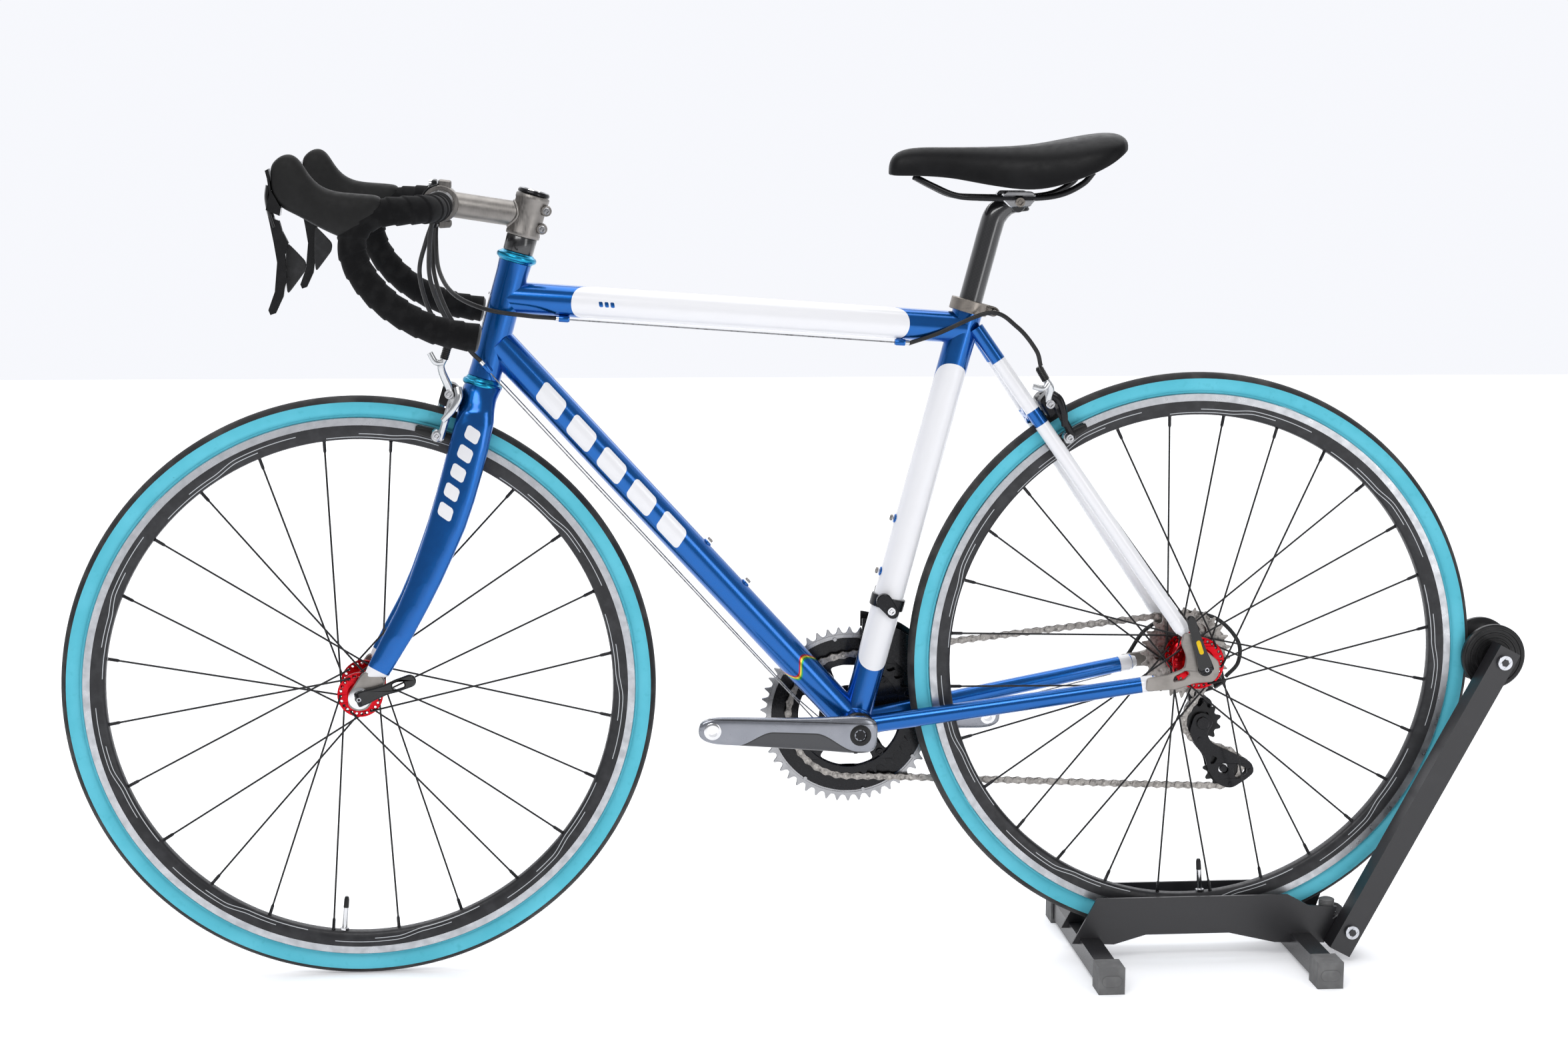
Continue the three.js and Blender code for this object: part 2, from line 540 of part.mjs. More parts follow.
/** Points of a belt round circles; turn is 1 where the belt runs clockwise seen from the chain side. */
function beltPoints(circles, arcStep = 0.24) {
  const tangents = circles.map((a, i) => {
    const b = circles[(i + 1) % circles.length];
    const dx = b.at[0] - a.at[0];
    const dz = b.at[1] - a.at[1];
    const base = Math.atan2(dz, dx);
    const lean = Math.acos((a.turn * a.radius - b.turn * b.radius) / Math.hypot(dx, dz));
    const normal = base + lean;
    const on = (c) => normal + (c.turn > 0 ? 0 : Math.PI);
    return { from: on(a), to: on(b) };
  });
  const points = [];
  circles.forEach((circle, i) => {
    const start = tangents[(i + circles.length - 1) % circles.length].to;
    let sweep = (tangents[i].from - start) * -circle.turn;
    sweep = ((sweep % (2 * Math.PI)) + 2 * Math.PI) % (2 * Math.PI);
    const count = Math.max(2, Math.ceil(sweep / arcStep));
    for (let k = 0; k <= count; k += 1) {
      const angle = start - (circle.turn * sweep * k) / count;
      points.push([circle.at[0] + circle.radius * Math.cos(angle), circle.at[1] + circle.radius * Math.sin(angle)]);
    }
  });
  return points;
}

/** How far the chain's line has moved across, at this place along the bicycle. */
function chainLine(x) {
  const start = BOTTOM_BRACKET[0] + SMALL_RING_RADIUS;
  const end = REAR_AXLE[0] - REAR_COG_RADIUS;
  const share = THREE.MathUtils.clamp((x - start) / (end - start), 0, 1);
  return CHAIN_FRONT_Y + share * (CHAIN_REAR_Y - CHAIN_FRONT_Y);
}

/** The space inside a belt that stands off the chain's pitch line by `grow`, `halfWidth` each side of it. */
function beltSolid(grow, halfWidth) {
  const shape = outline(beltPoints([
    { at: BOTTOM_BRACKET, radius: SMALL_RING_RADIUS + grow, turn: 1 },
    { at: REAR_AXLE, radius: REAR_COG_RADIUS + grow, turn: 1 },
    { at: UPPER_PULLEY, radius: PULLEY_RADIUS - grow, turn: -1 },
    { at: LOWER_PULLEY, radius: PULLEY_RADIUS + grow, turn: 1 },
  ]));
  const geometry = new THREE.ExtrudeGeometry(shape, { depth: 2 * halfWidth, bevelEnabled: false });
  geometry.rotateX(Math.PI / 2);
  geometry.translate(0, halfWidth, 0);
  const { position } = geometry.attributes;
  for (let i = 0; i < position.count; i += 1) {
    position.setY(i, position.getY(i) + chainLine(position.getX(i)));
  }
  return solid(geometry);
}

function chain() {
  const inside = beltSolid(-CHAIN_HALF_THICKNESS, CHAIN_HALF_WIDTH + 3);
  return cut(beltSolid(CHAIN_HALF_THICKNESS, CHAIN_HALF_WIDTH), inside);
}

function pulley(centre) {
  const profile = [[3.5, CHAIN_REAR_Y - 2.5], [PULLEY_RADIUS - 4.6, CHAIN_REAR_Y - 2.5],
    [PULLEY_RADIUS - 4.6, CHAIN_REAR_Y + 2.5], [3.5, CHAIN_REAR_Y + 2.5], [3.5, CHAIN_REAR_Y - 2.5]];
  return turned(profile, centre, 16);
}

/** Rear derailleur: the knuckle on the hanger, its links, and the barrel adjuster. */
function rearDerailleur() {
  const knuckle = rod(at(HANGER, 73), at(HANGER, 86), 10);
  const links = sidePlate(linkOutline([972, 322], 11, [995, 283], 10), 73, 84);
  const inner = sidePlate(linkOutline([996, 285], 9, UPPER_PULLEY, 12), 39, 75);
  const barrel = rod([1000, 78, 300], [1026, 74, 318], 5.5, 5);
  const neck = rod([985, 79, 302], [1003, 78, 302], 6);
  const clear = turned([[0, 30], [64, 30], [64, 66], [0, 66]], REAR_AXLE, 28);
  return cut(join(knuckle, links, inner, barrel, neck), clear);
}

function derailleurCage() {
  const inner = CHAIN_REAR_Y - 6.5;
  const outer = CHAIN_REAR_Y + 5;
  const plate = (y, r) => sidePlate(linkOutline(UPPER_PULLEY, r, LOWER_PULLEY, r), y, y + 1.8);
  const tail = (y) => sidePlate(linkOutline(LOWER_PULLEY, 15, [1043, 213], 7), y, y + 1.8);
  const pins = [UPPER_PULLEY, LOWER_PULLEY, [1045.5, 213]].map((p) => rod(at(p, inner), at(p, outer + 1.8), 3, undefined, 8));
  return join(plate(inner, 14), plate(outer, 12), tail(inner), tail(outer), ...pins);
}

/** Front derailleur cage: two plates that follow the rings' curve, a bridge over them and the pivot above. */
function frontDerailleur() {
  const plate = (inner, outer, y0) => cut(
    turned([[inner, y0], [outer, y0], [outer, y0 + 2], [inner, y0 + 2], [inner, y0]], BOTTOM_BRACKET, 48),
    block([400, 0, 100], [578, 90, 480]),
    block([560, 0, 100], [700, 90, 318]),
    block([652, 0, 100], [760, 90, 480]),
  );
  const innerPlate = plate(84, 118, CHAIN_FRONT_Y - 8);
  const outerPlate = plate(106, 124, CHAIN_FRONT_Y + 10);
  const bridge = block([584, CHAIN_FRONT_Y - 8, 388], [618, CHAIN_FRONT_Y + 12, 391]);
  const link = rod([596, 34, 388], [601, 30, 432], 7, 9);
  const pivot = rod([603, 23, 434], [603, 38, 434], 11);
  return cut(join(innerPlate, outerPlate, bridge, link, pivot), rod(onSeat(-385), onSeat(-335), SEAT_RADIUS + 3.2));
}

// ---------- cables ----------
const HOUSING_RADIUS = 2.4;
const WIRE_RADIUS = 0.8;
const housing = (points, steps = 14) => bentRod(points, HOUSING_RADIUS, steps, 6);
const wire = (points) => points.slice(1).map((p, i) => rod(points[i], p, WIRE_RADIUS, WIRE_RADIUS, 4));

const FRONT_BRAKE_ROUTE = [[78, -172, 858], [62, -130, 832], [54, -80, 806], [64, -45, 782], [84, -22, 752], [98, -18, 724]];
const REAR_BRAKE_FRONT_ROUTE = [[78, 172, 858], [64, 120, 828], [72, 60, 796], [110, 6, 778], [146, -27, 768],
  [190, -28, 761], [232, -10, 755]];
const REAR_BRAKE_REAR_ROUTE = [[612, -10, 728], [655, -24, 742], [700, -32, 768], [735, -28, 766], [762, -20, 738],
  [774, -16, 706]];
const LEFT_SHIFT_ROUTE = [[94, -160, 864], [84, -120, 848], [84, -60, 800], [104, -38, 752], [128, -30, 720], [146, -26, 700]];
const RIGHT_SHIFT_ROUTE = [[94, 160, 864], [84, 120, 848], [84, 60, 800], [104, 38, 752], [128, 30, 720], [146, 26, 700]];
const DERAILLEUR_ROUTE = [[905, 76, 345], [935, 79, 385], [985, 82, 402], [1030, 82, 382], [1047, 80, 350], [1030, 75, 322]];

function frontBrakeCable() {
  return housing(FRONT_BRAKE_ROUTE);
}

function rearBrakeCable() {
  const run = wire([REAR_BRAKE_FRONT_ROUTE.at(-1), REAR_BRAKE_REAR_ROUTE[0]]);
  return join(housing(REAR_BRAKE_FRONT_ROUTE, 18), ...run, housing(REAR_BRAKE_REAR_ROUTE));
}

function leftShiftCable() {
  const run = wire([LEFT_SHIFT_ROUTE.at(-1), [150, -24, 697], [500, -14, 312], [545, -12, 262]]);
  return join(housing(LEFT_SHIFT_ROUTE), ...run);
}

function rightShiftCable() {
  const run = wire([RIGHT_SHIFT_ROUTE.at(-1), [150, 24, 697], [500, 14, 312], [556, 14, 262], [610, 26, 270],
    [885, 76, 322], [905, 76, 345]]);
  return join(housing(RIGHT_SHIFT_ROUTE), ...run, housing(DERAILLEUR_ROUTE));
}

// ---------- stand ----------
const STAND_LEGS = [843, 1097];
const LEG_HALF = 12;
const LEG_Z = [5, 28];

/** Two pressed side plates welded to two square cross tubes. */
function standBase() {
  const side = outline([[851, 76], [1080, 76], [1106, 62], [1140, 60], [1126, 16], [1066, 18], [1010, 31],
    [910, 31], [872, 20], [822, 22]]);
  const plates = [[STAND_PLATE_Y, STAND_PLATE_Y + 3], [-STAND_PLATE_Y - 3, -STAND_PLATE_Y]].map((y) => sidePlate(side, ...y));
  const legs = STAND_LEGS.map((x) =>
    block([x - LEG_HALF, -FOOT_REACH + 10, LEG_Z[0]], [x + LEG_HALF, FOOT_REACH - 10, LEG_Z[1]]));
  const hinge = block([1136, -31, 18], [1168, 31, 24]);
  const lugs = [[-33, -30], [12, 15]].map(([a, b]) => sidePlate(linkOutline([1134, 30], 12, ARM_FOOT, 14), a, b));
  const room = rod(at(ARM_FOOT, -60), at(ARM_FOOT, 60), 4.3, undefined, 12);
  const bores = STAND_LEGS.map((x) =>
    block([x - LEG_HALF + TUBE_WALL, -FOOT_REACH, LEG_Z[0] + TUBE_WALL],
      [x + LEG_HALF - TUBE_WALL, FOOT_REACH, LEG_Z[1] - TUBE_WALL]));
  return cut(join(...plates, ...legs, hinge, ...lugs), room, ...bores);
}

function standFoot(x, side) {
  const inner = side * (FOOT_REACH - 34);
  const outer = side * FOOT_REACH;
  const [y0, y1] = inner < outer ? [inner, outer] : [outer, inner];
  const pad = block([x - 15, y0, 0], [x + 15, y1, 31]);
  const leg = block([x - LEG_HALF - GAP, -FOOT_REACH + 9, LEG_Z[0] - GAP],
    [x + LEG_HALF + GAP, FOOT_REACH - 10 + GAP, LEG_Z[1] + GAP]);
  return cut(pad, leg);
}

const ARM_Y = [-60, -34];

function standArm() {
  const [y0, y1] = ARM_Y;
  const along = new THREE.Vector2(ARM_HEAD[0] - ARM_FOOT[0], ARM_HEAD[1] - ARM_FOOT[1]).normalize();
  const side = new THREE.Vector2(-along.y, along.x).multiplyScalar(13.5);
  const foot = [ARM_FOOT[0] - along.x * 28, ARM_FOOT[1] - along.y * 28];
  const head = [ARM_HEAD[0] + along.x * 16, ARM_HEAD[1] + along.y * 16];
  const bar = sidePlate(outline([
    [foot[0] + side.x, foot[1] + side.y], [foot[0] - side.x, foot[1] - side.y],
    [head[0] - side.x, head[1] - side.y], [head[0] + side.x, head[1] + side.y]]), y0, y1);
  const hingePin = rod(at(ARM_FOOT, y0 - 6), at(ARM_FOOT, 24), 4, undefined, 12);
  const rollerPin = rod(at(ARM_HEAD, y0 - 6), at(ARM_HEAD, 30), 4, undefined, 12);
  return join(bar, hingePin, rollerPin);
}

function standRoller() {
  const profile = [[4.4, -27], [38, -27], [38, -20], [30, -14.5], [19, -14], [19, 14], [30, 14.5], [38, 20], [38, 27],
    [4.4, 27], [4.4, -27]];
  return turned(profile, ARM_HEAD, 24);
}

// ---------- assembly ----------
const object = new THREE.Group();
object.position.x = -LENGTH_CENTRE;

const sides = [[-1, 'left'], [1, 'right']];
const frameGroup = new THREE.Group();
frameGroup.add(
  meshOf('head_tube', headTube(), bluePaint),
  meshOf('top_tube', topTube(), whitePaint),
  meshOf('down_tube', downTube(), bluePaint),
  meshOf('seat_tube', seatTube(), whitePaint),
  meshOf('left_chainstay', chainstay(-1), bluePaint),
  meshOf('right_chainstay', chainstay(1), bluePaint),
  meshOf('seatstays', seatstays(), whitePaint),
  meshOf('headset_upper', headsetCup(HEAD_TUBE_SPAN[1] + GAP, 150, [142, 148]), tealAnodised),
  meshOf('headset_lower', headsetCup(-9, HEAD_TUBE_SPAN[0] - GAP, [-7, -1]), tealAnodised),
  meshOf('seat_clamp', seatClamp(), titanium),
  meshOf('seatpost', seatpost(), carbonBlack),
  meshOf('saddle_rails', saddleRails(), steelRail),
  meshOf('saddle', saddle(), saddleCover),
);

const steeringGroup = new THREE.Group();
steeringGroup.add(
  meshOf('fork', fork(), bluePaint),
  meshOf('stem', stem(), titanium),
  meshOf('handlebar', handlebar(), partBlack),
);
for (const [side, word] of sides) {
  steeringGroup.add(
    meshOf(`${word}_bar_tape`, barTape(side), tapeBlack),
    meshOf(`${word}_hood`, hood(side), hoodRubber),
    meshOf(`${word}_lever_bracket`, leverBracket(side), partBlack),
    meshOf(`${word}_brake_lever`, brakeLever(side), partBlack),
    meshOf(`${word}_shift_paddle`, shiftPaddle(side), partBlack),
  );
}

const brakeGroup = new THREE.Group();
for (const [end, place] of Object.entries(BRAKES)) {
  for (const [side, word] of sides) {
    brakeGroup.add(meshOf(`${end}_calliper_${word}_arm`, calliperArm(place, side), calliperSilver));
  }
}

const wheelGroup = new THREE.Group();
wheelGroup.add(
  meshOf('front_tyre', tyre(FRONT_AXLE), tyreRubber),
  meshOf('front_rim', rim(FRONT_AXLE), rimBlack),
  meshOf('front_hub', hub(FRONT_AXLE, FRONT_HUB, [{ y: -35, radius: 22 }, { y: 35, radius: 22 }], 24), redAnodised),
  meshOf('rear_tyre', tyre(REAR_AXLE), tyreRubber),
  meshOf('rear_rim', rim(REAR_AXLE), rimBlack),
  meshOf('rear_hub', hub(REAR_AXLE, REAR_HUB, [{ y: -37.5, radius: 28 }, { y: 15.2, radius: 24 }], 28), redAnodised),
  meshOf('cassette', cassette(), cogSteel),
  meshOf('front_quick_release', quickRelease(FRONT_AXLE, [58, 356], FRONT_SPACING / 2 + 6.5), partBlack),
  meshOf('rear_quick_release', quickRelease(REAR_AXLE, [942, 416], REAR_SPACING / 2 + 6.5), partBlack),
);

const driveGroup = new THREE.Group();
driveGroup.add(
  meshOf('left_crank', leftCrank(), crankGrey),
  meshOf('right_crank', rightCrank(), crankGrey),
  meshOf('big_ring', ring(61, 101, 46.8, 50), ringBlack),
  meshOf('small_ring', ring(50, 67.8, 39.3, 42.7), ringBlack),
  meshOf('chain', chain(), cogSteel),
  meshOf('rear_derailleur', rearDerailleur(), partBlack),
  meshOf('derailleur_cage', derailleurCage(), partBlack),
  meshOf('upper_pulley', pulley(UPPER_PULLEY), partBlack),
  meshOf('lower_pulley', pulley(LOWER_PULLEY), partBlack),
  meshOf('front_derailleur', frontDerailleur(), partBlack),
);

const cableGroup = new THREE.Group();
cableGroup.add(
  meshOf('front_brake_cable', frontBrakeCable(), cableBlack),
  meshOf('rear_brake_cable', rearBrakeCable(), cableBlack),
  meshOf('left_shift_cable', leftShiftCable(), cableBlack),
  meshOf('right_shift_cable', rightShiftCable(), cableBlack),
);

const standGroup = new THREE.Group();
standGroup.add(
  meshOf('stand_base', standBase(), powderBlack),
  meshOf('stand_arm', standArm(), powderBlack),
  meshOf('stand_roller', standRoller(), partBlack),
);
STAND_LEGS.forEach((x, i) => {
  for (const [side, word] of sides) {
    standGroup.add(meshOf(`stand_foot_${i ? 'rear' : 'front'}_${word}`, standFoot(x, side), footRubber));
  }
});

object.add(frameGroup, steeringGroup, brakeGroup, wheelGroup, driveGroup, cableGroup, standGroup);
export default object;
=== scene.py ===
"""The looks of the road bicycle in its display stand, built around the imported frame.

Lengths are millimetres in the drawing's own frame: X runs rearwards from the front axle, Y points to the
chain side and Z up from the floor. `spot` turns a place into the frame's metres.
"""

import json
import math

import bmesh
import bpy
from mathutils import Matrix, Vector
from mathutils.geometry import tessellate_polygon


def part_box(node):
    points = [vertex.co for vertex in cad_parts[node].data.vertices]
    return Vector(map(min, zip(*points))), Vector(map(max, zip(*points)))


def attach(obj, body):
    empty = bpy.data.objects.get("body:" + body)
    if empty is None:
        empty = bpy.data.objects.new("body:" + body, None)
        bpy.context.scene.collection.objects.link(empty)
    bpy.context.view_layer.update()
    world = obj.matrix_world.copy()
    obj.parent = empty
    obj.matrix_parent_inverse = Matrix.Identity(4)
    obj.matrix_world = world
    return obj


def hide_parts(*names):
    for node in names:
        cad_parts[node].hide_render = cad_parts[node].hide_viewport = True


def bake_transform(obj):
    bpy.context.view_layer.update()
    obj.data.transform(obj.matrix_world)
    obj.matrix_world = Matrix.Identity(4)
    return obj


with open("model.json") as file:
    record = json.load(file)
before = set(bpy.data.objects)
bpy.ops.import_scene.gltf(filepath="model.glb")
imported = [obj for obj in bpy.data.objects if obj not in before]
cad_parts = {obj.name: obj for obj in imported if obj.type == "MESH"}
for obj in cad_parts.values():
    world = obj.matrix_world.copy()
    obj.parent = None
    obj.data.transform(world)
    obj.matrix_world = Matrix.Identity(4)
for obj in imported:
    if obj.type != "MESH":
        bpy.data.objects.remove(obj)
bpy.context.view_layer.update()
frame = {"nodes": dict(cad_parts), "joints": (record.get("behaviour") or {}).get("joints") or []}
joints = {j["name"]: j for j in frame["joints"]}
MM = 0.001
FRONT_X = joints["front_wheel_spin"]["pos_m"][0]


def spot(place):
    """A place in the drawing as a point of the frame, in metres."""
    return Vector((place[0] * MM + FRONT_X, place[1] * MM, place[2] * MM))


def joint_place(name):
    """A joint's own point, in the drawing's millimetres."""
    x, y, z = joints[name]["pos_m"]
    return Vector(((x - FRONT_X) / MM, y / MM, z / MM))


def cad_box(node):
    """A CAD node's lowest and highest corner, in the drawing's millimetres."""
    return [Vector(((p.x - FRONT_X) / MM, p.y / MM, p.z / MM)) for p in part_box(node)]


# ---------- driving places, from the frame ----------
FRONT_AXLE = joint_place("front_wheel_spin")
REAR_AXLE = joint_place("rear_wheel_spin")
CRANK_AXIS = joint_place("crank_spin")
UPPER_PULLEY = joint_place("upper_pulley_spin")
LOWER_PULLEY = joint_place("lower_pulley_spin")
HEAD_BASE = joint_place("steering")
HEAD_WAY = Vector(joints["steering"]["axis"]).normalized()
ROLLER_AXIS = joint_place("roller_spin")
ARM_FOOT = joint_place("stand_arm_hinge")
TYRE_RADIUS = (cad_box("front_tyre")[1].z - cad_box("front_tyre")[0].z) / 2
SEAT_TOP = Vector((693, 0, 771))
BRIDGE = Vector((765, 0, 645.5))  # middle of the brake bridge between the seatstays
SEAT_WAY = (SEAT_TOP - CRANK_AXIS).normalized()
FORE = Vector((1, 0, 0))
ACROSS = Vector((0, 1, 0))
UP = Vector((0, 0, 1))


def on_head(up, ahead=0.0, y=0.0):
    """A place `up` along the steering axis and `ahead` in front of it."""
    front = Vector((-HEAD_WAY.z, 0, HEAD_WAY.x))
    return HEAD_BASE + HEAD_WAY * up + front * ahead + ACROSS * y


def on_seat(up, behind=0.0, y=0.0):
    """A place `up` along the seat tube from its top and `behind` it."""
    back = Vector((SEAT_WAY.z, 0, -SEAT_WAY.x))
    return SEAT_TOP + SEAT_WAY * up + back * behind + ACROSS * y


# ---------- camera, lights and floor ----------
CAMERA_TURN = (5.7527, 8.6959, 0.3519)  # degrees: to the right, down, and rolled
CAMERA_PLACE = (178.28, -3015, 984.84)
CAMERA_LENS = 61.38  # on a sensor 36 wide


def place_camera():
    yaw, pitch, roll = (math.radians(v) for v in CAMERA_TURN)
    ahead = Vector((math.sin(yaw), math.cos(yaw), 0))
    right = Vector((math.cos(yaw), -math.sin(yaw), 0))
    looking = ahead * math.cos(pitch) - UP * math.sin(pitch)
    above = UP * math.cos(pitch) + ahead * math.sin(pitch)
    across = right * math.cos(roll) + above * math.sin(roll)
    upright = above * math.cos(roll) - right * math.sin(roll)
    data = bpy.data.cameras.new("camera")
    data.lens = CAMERA_LENS
    data.sensor_width = 36
    data.sensor_fit = "HORIZONTAL"
    data.clip_end = 50
    camera = bpy.data.objects.new("camera", data)
    turn = Matrix((across, upright, -looking)).transposed().to_4x4()
    camera.matrix_world = Matrix.Translation(spot(CAMERA_PLACE)) @ turn
    bpy.context.scene.collection.objects.link(camera)
    bpy.context.scene.camera = camera


def soft_light(name, place, target, size, power, tint=(1, 1, 1)):
    data = bpy.data.lights.new(name, "AREA")
    data.shape = "RECTANGLE"
    data.size, data.size_y = size
    data.energy = power
    data.color = tint
    lamp = bpy.data.objects.new(name, data)
    lamp.location = place
    lamp.rotation_mode = "QUATERNION"
    lamp.rotation_quaternion = (Vector(target) - Vector(place)).to_track_quat("-Z", "Y")
    bpy.context.scene.collection.objects.link(lamp)


def light_the_studio():
    """A pale surround that is darker on the camera's side, so that the paint has something to reflect."""
    world = bpy.data.worlds.new("studio")
    world.use_nodes = True
    tree = world.node_tree
    place = tree.nodes.new("ShaderNodeTexCoord")
    split = tree.nodes.new("ShaderNodeSeparateXYZ")
    ramp = tree.nodes.new("ShaderNodeMapRange")
    ramp.interpolation_type = "SMOOTHSTEP"
    for socket, value in (("From Min", -0.35), ("From Max", 0.45), ("To Min", 0.36), ("To Max", 1.0)):
        ramp.inputs[socket].default_value = value
    tree.links.new(place.outputs["Generated"], split.inputs[0])
    tree.links.new(split.outputs[1], ramp.inputs["Value"])
    tree.links.new(ramp.outputs["Result"], tree.nodes["Background"].inputs["Strength"])
    tree.nodes["Background"].inputs["Color"].default_value = (0.93, 0.94, 0.98, 1)
    bpy.context.scene.world = world
    bpy.context.scene.view_settings.view_transform = "Standard"
    soft_light("key", (-1.3, -2.7, 3.0), (0, 0, 0.4), (2.6, 1.3), 56)
    soft_light("fill", (1.9, -2.6, 1.1), (0.2, 0, 0.5), (0.9, 2.0), 16)
    soft_light("overhead", (0.1, 0.5, 3.2), (0, 0.1, 0), (3.4, 2.2), 44)
    soft_light("far_floor", (0.6, 5.4, 3.6), (0.6, 5.4, 0), (9.0, 3.4), 150)


# ---------- materials ----------
RELIEF = 0.3  # how much of the drawn surface relief shows


class Look:
    """A node material: a Principled shader and short ways to feed it."""

    def __init__(self, name, colour, rough, metal=0.0, coat=0.0, coat_rough=0.05, specular=0.5):
        self.material = bpy.data.materials.new(name)
        self.material.use_nodes = True
        self.tree = self.material.node_tree
        self.shader = self.tree.nodes["Principled BSDF"]
        self.set("Base Color", (*colour, 1))
        self.set("Roughness", rough)
        self.set("Metallic", metal)
        self.set("Coat Weight", coat)
        self.set("Coat Roughness", coat_rough)
        self.set("Specular IOR Level", specular)
        self.places = self.add("ShaderNodeTexCoord")
        self.here = self.places.outputs["Object"]

    def set(self, socket, value):
        self.shader.inputs[socket].default_value = value
        return self

    def add(self, kind, **inputs):
        node = self.tree.nodes.new(kind)
        for key, value in inputs.items():
            self.feed(node.inputs[key.replace("_", " ")], value)
        return node

    def feed(self, socket, value):
        if isinstance(value, bpy.types.NodeSocket):
            self.tree.links.new(value, socket)
        else:
            socket.default_value = value

    def sum(self, operation, a, b=0.0, c=None):
        node = self.tree.nodes.new("ShaderNodeMath")
        node.operation = operation
        self.feed(node.inputs[0], a)
        self.feed(node.inputs[1], b)
        if c is not None:
            self.feed(node.inputs[2], c)
        return node.outputs[0]

    def noise(self, scale, detail=3.0, where=None, stretch=None):
        """Noise over the object's own coordinates; scale is in cycles a metre."""
        where = self.here if where is None else where
        if stretch:
            where = self.add("ShaderNodeMapping", Vector=where, Scale=stretch).outputs[0]
        return self.add("ShaderNodeTexNoise", Vector=where, Scale=scale, Detail=detail).outputs["Fac"]

    def cells(self, scale, feature="F1", where=None):
        node = self.add("ShaderNodeTexVoronoi", Vector=self.here if where is None else where, Scale=scale)
        node.feature = feature
        return node.outputs["Distance"]

    def ramp(self, value, low, high, to_low=0.0, to_high=1.0):
        node = self.add("ShaderNodeMapRange", Value=value)
        node.interpolation_type = "SMOOTHSTEP"
        node.inputs["From Min"].default_value = low
        node.inputs["From Max"].default_value = high
        node.inputs["To Min"].default_value = to_low
        node.inputs["To Max"].default_value = to_high
        return node.outputs["Result"]

    def mix(self, share, a, b):
        node = self.tree.nodes.new("ShaderNodeMix")
        node.data_type = "RGBA"
        self.feed(node.inputs[0], share)
        for socket, value in ((node.inputs[6], a), (node.inputs[7], b)):
            self.feed(socket, (*value, 1) if isinstance(value, tuple) and len(value) == 3 else value)
        return node.outputs[2]

    def colour(self, value):
        self.feed(self.shader.inputs["Base Color"], value)
        return self

    def shade(self, value, low, high):
        """Roughness that runs from low to high with the value."""
        self.feed(self.shader.inputs["Roughness"], self.ramp(value, 0.25, 0.75, low, high))
        return self

    def bump(self, height, depth, strength=1.0):
        """Relief: depth is the height in metres where the value is 1."""
        node = self.add("ShaderNodeBump", Height=height, Strength=strength, Distance=depth * RELIEF)
        earlier = self.shader.inputs["Normal"].links
        if earlier:
            self.tree.links.new(earlier[0].from_socket, node.inputs["Normal"])
        self.tree.links.new(node.outputs["Normal"], self.shader.inputs["Normal"])
        return self

    def along_and_round(self):
        """A tube's UV: millimetres along it, and the share of a quarter turn from its side line."""
        split = self.add("ShaderNodeSeparateXYZ", Vector=self.places.outputs["UV"])
        along = self.sum("MULTIPLY", split.outputs[0], 1000.0)
        twice = self.sum("FRACT", self.sum("MULTIPLY", split.outputs[1], 2.0))
        from_side = self.sum("MULTIPLY", self.sum("SUBTRACT", twice, 0.5), 2.0)
        return along, from_side

    def polar(self, centre):
        """Distance in millimetres and angle in turns about a cross-wise axis through a place."""
        middle = spot(centre)
        moved = self.add("ShaderNodeMapping", Vector=self.here, Location=tuple(-middle)).outputs[0]
        split = self.add("ShaderNodeSeparateXYZ", Vector=moved)
        x, z = split.outputs[0], split.outputs[2]
        squares = self.sum("ADD", self.sum("MULTIPLY", x, x), self.sum("MULTIPLY", z, z))
        radius = self.sum("MULTIPLY", self.sum("SQRT", squares), 1000.0)
        turns = self.sum("DIVIDE", self.sum("ARCTAN2", z, x), 2 * math.pi)
        return radius, self.sum("ADD", turns, 0.5)

    def rounded_bars(self, along, beside, first, pitch, count, half_length, half_height, slant):
        """1 inside each of a row of slanted bars with round corners; all in millimetres."""
        leaning = self.sum("ADD", along, self.sum("MULTIPLY", beside, slant))
        steps = self.sum("DIVIDE", self.sum("SUBTRACT", leaning, first), pitch)
        place = self.sum("MULTIPLY", self.sum("SUBTRACT", self.sum("FRACT", steps), 0.5), pitch)
        corner = half_height * 0.45
        parts = []
        for value, half in ((place, half_length), (beside, half_height)):
            over = self.sum("SUBTRACT", self.sum("ABSOLUTE", value), half - corner)
            parts.append(self.sum("POWER", self.sum("MAXIMUM", over, 0.0), 2.0))
        distance = self.sum("SQRT", self.sum("ADD", parts[0], parts[1]))
        inside = self.ramp(distance, corner - 0.25, corner + 0.25, 1.0, 0.0)
        in_row = self.sum("MULTIPLY", self.sum("GREATER_THAN", steps, 0.0),
                          self.sum("LESS_THAN", steps, count))
        return self.sum("MULTIPLY", inside, in_row)

    def tongue(self, along, from_side, start, end, radius):
        """1 inside a panel round a tube whose two ends are round tongues on each side of it."""
        quarter = math.pi * radius / 2
        inner = self.sum("SUBTRACT", 1.0, self.sum("MULTIPLY", from_side, from_side))
        back = self.sum("SUBTRACT", 1.0, self.sum("SQRT", self.sum("MAXIMUM", inner, 0.0)))
        edge = self.sum("MULTIPLY", back, quarter)
        room = self.sum("MINIMUM", self.sum("SUBTRACT", along, start), self.sum("SUBTRACT", end, along))
        return self.ramp(self.sum("SUBTRACT", room, edge), -0.25, 0.25)


BLUE = (0.001, 0.10, 0.37)
WHITE = (0.78, 0.78, 0.80)


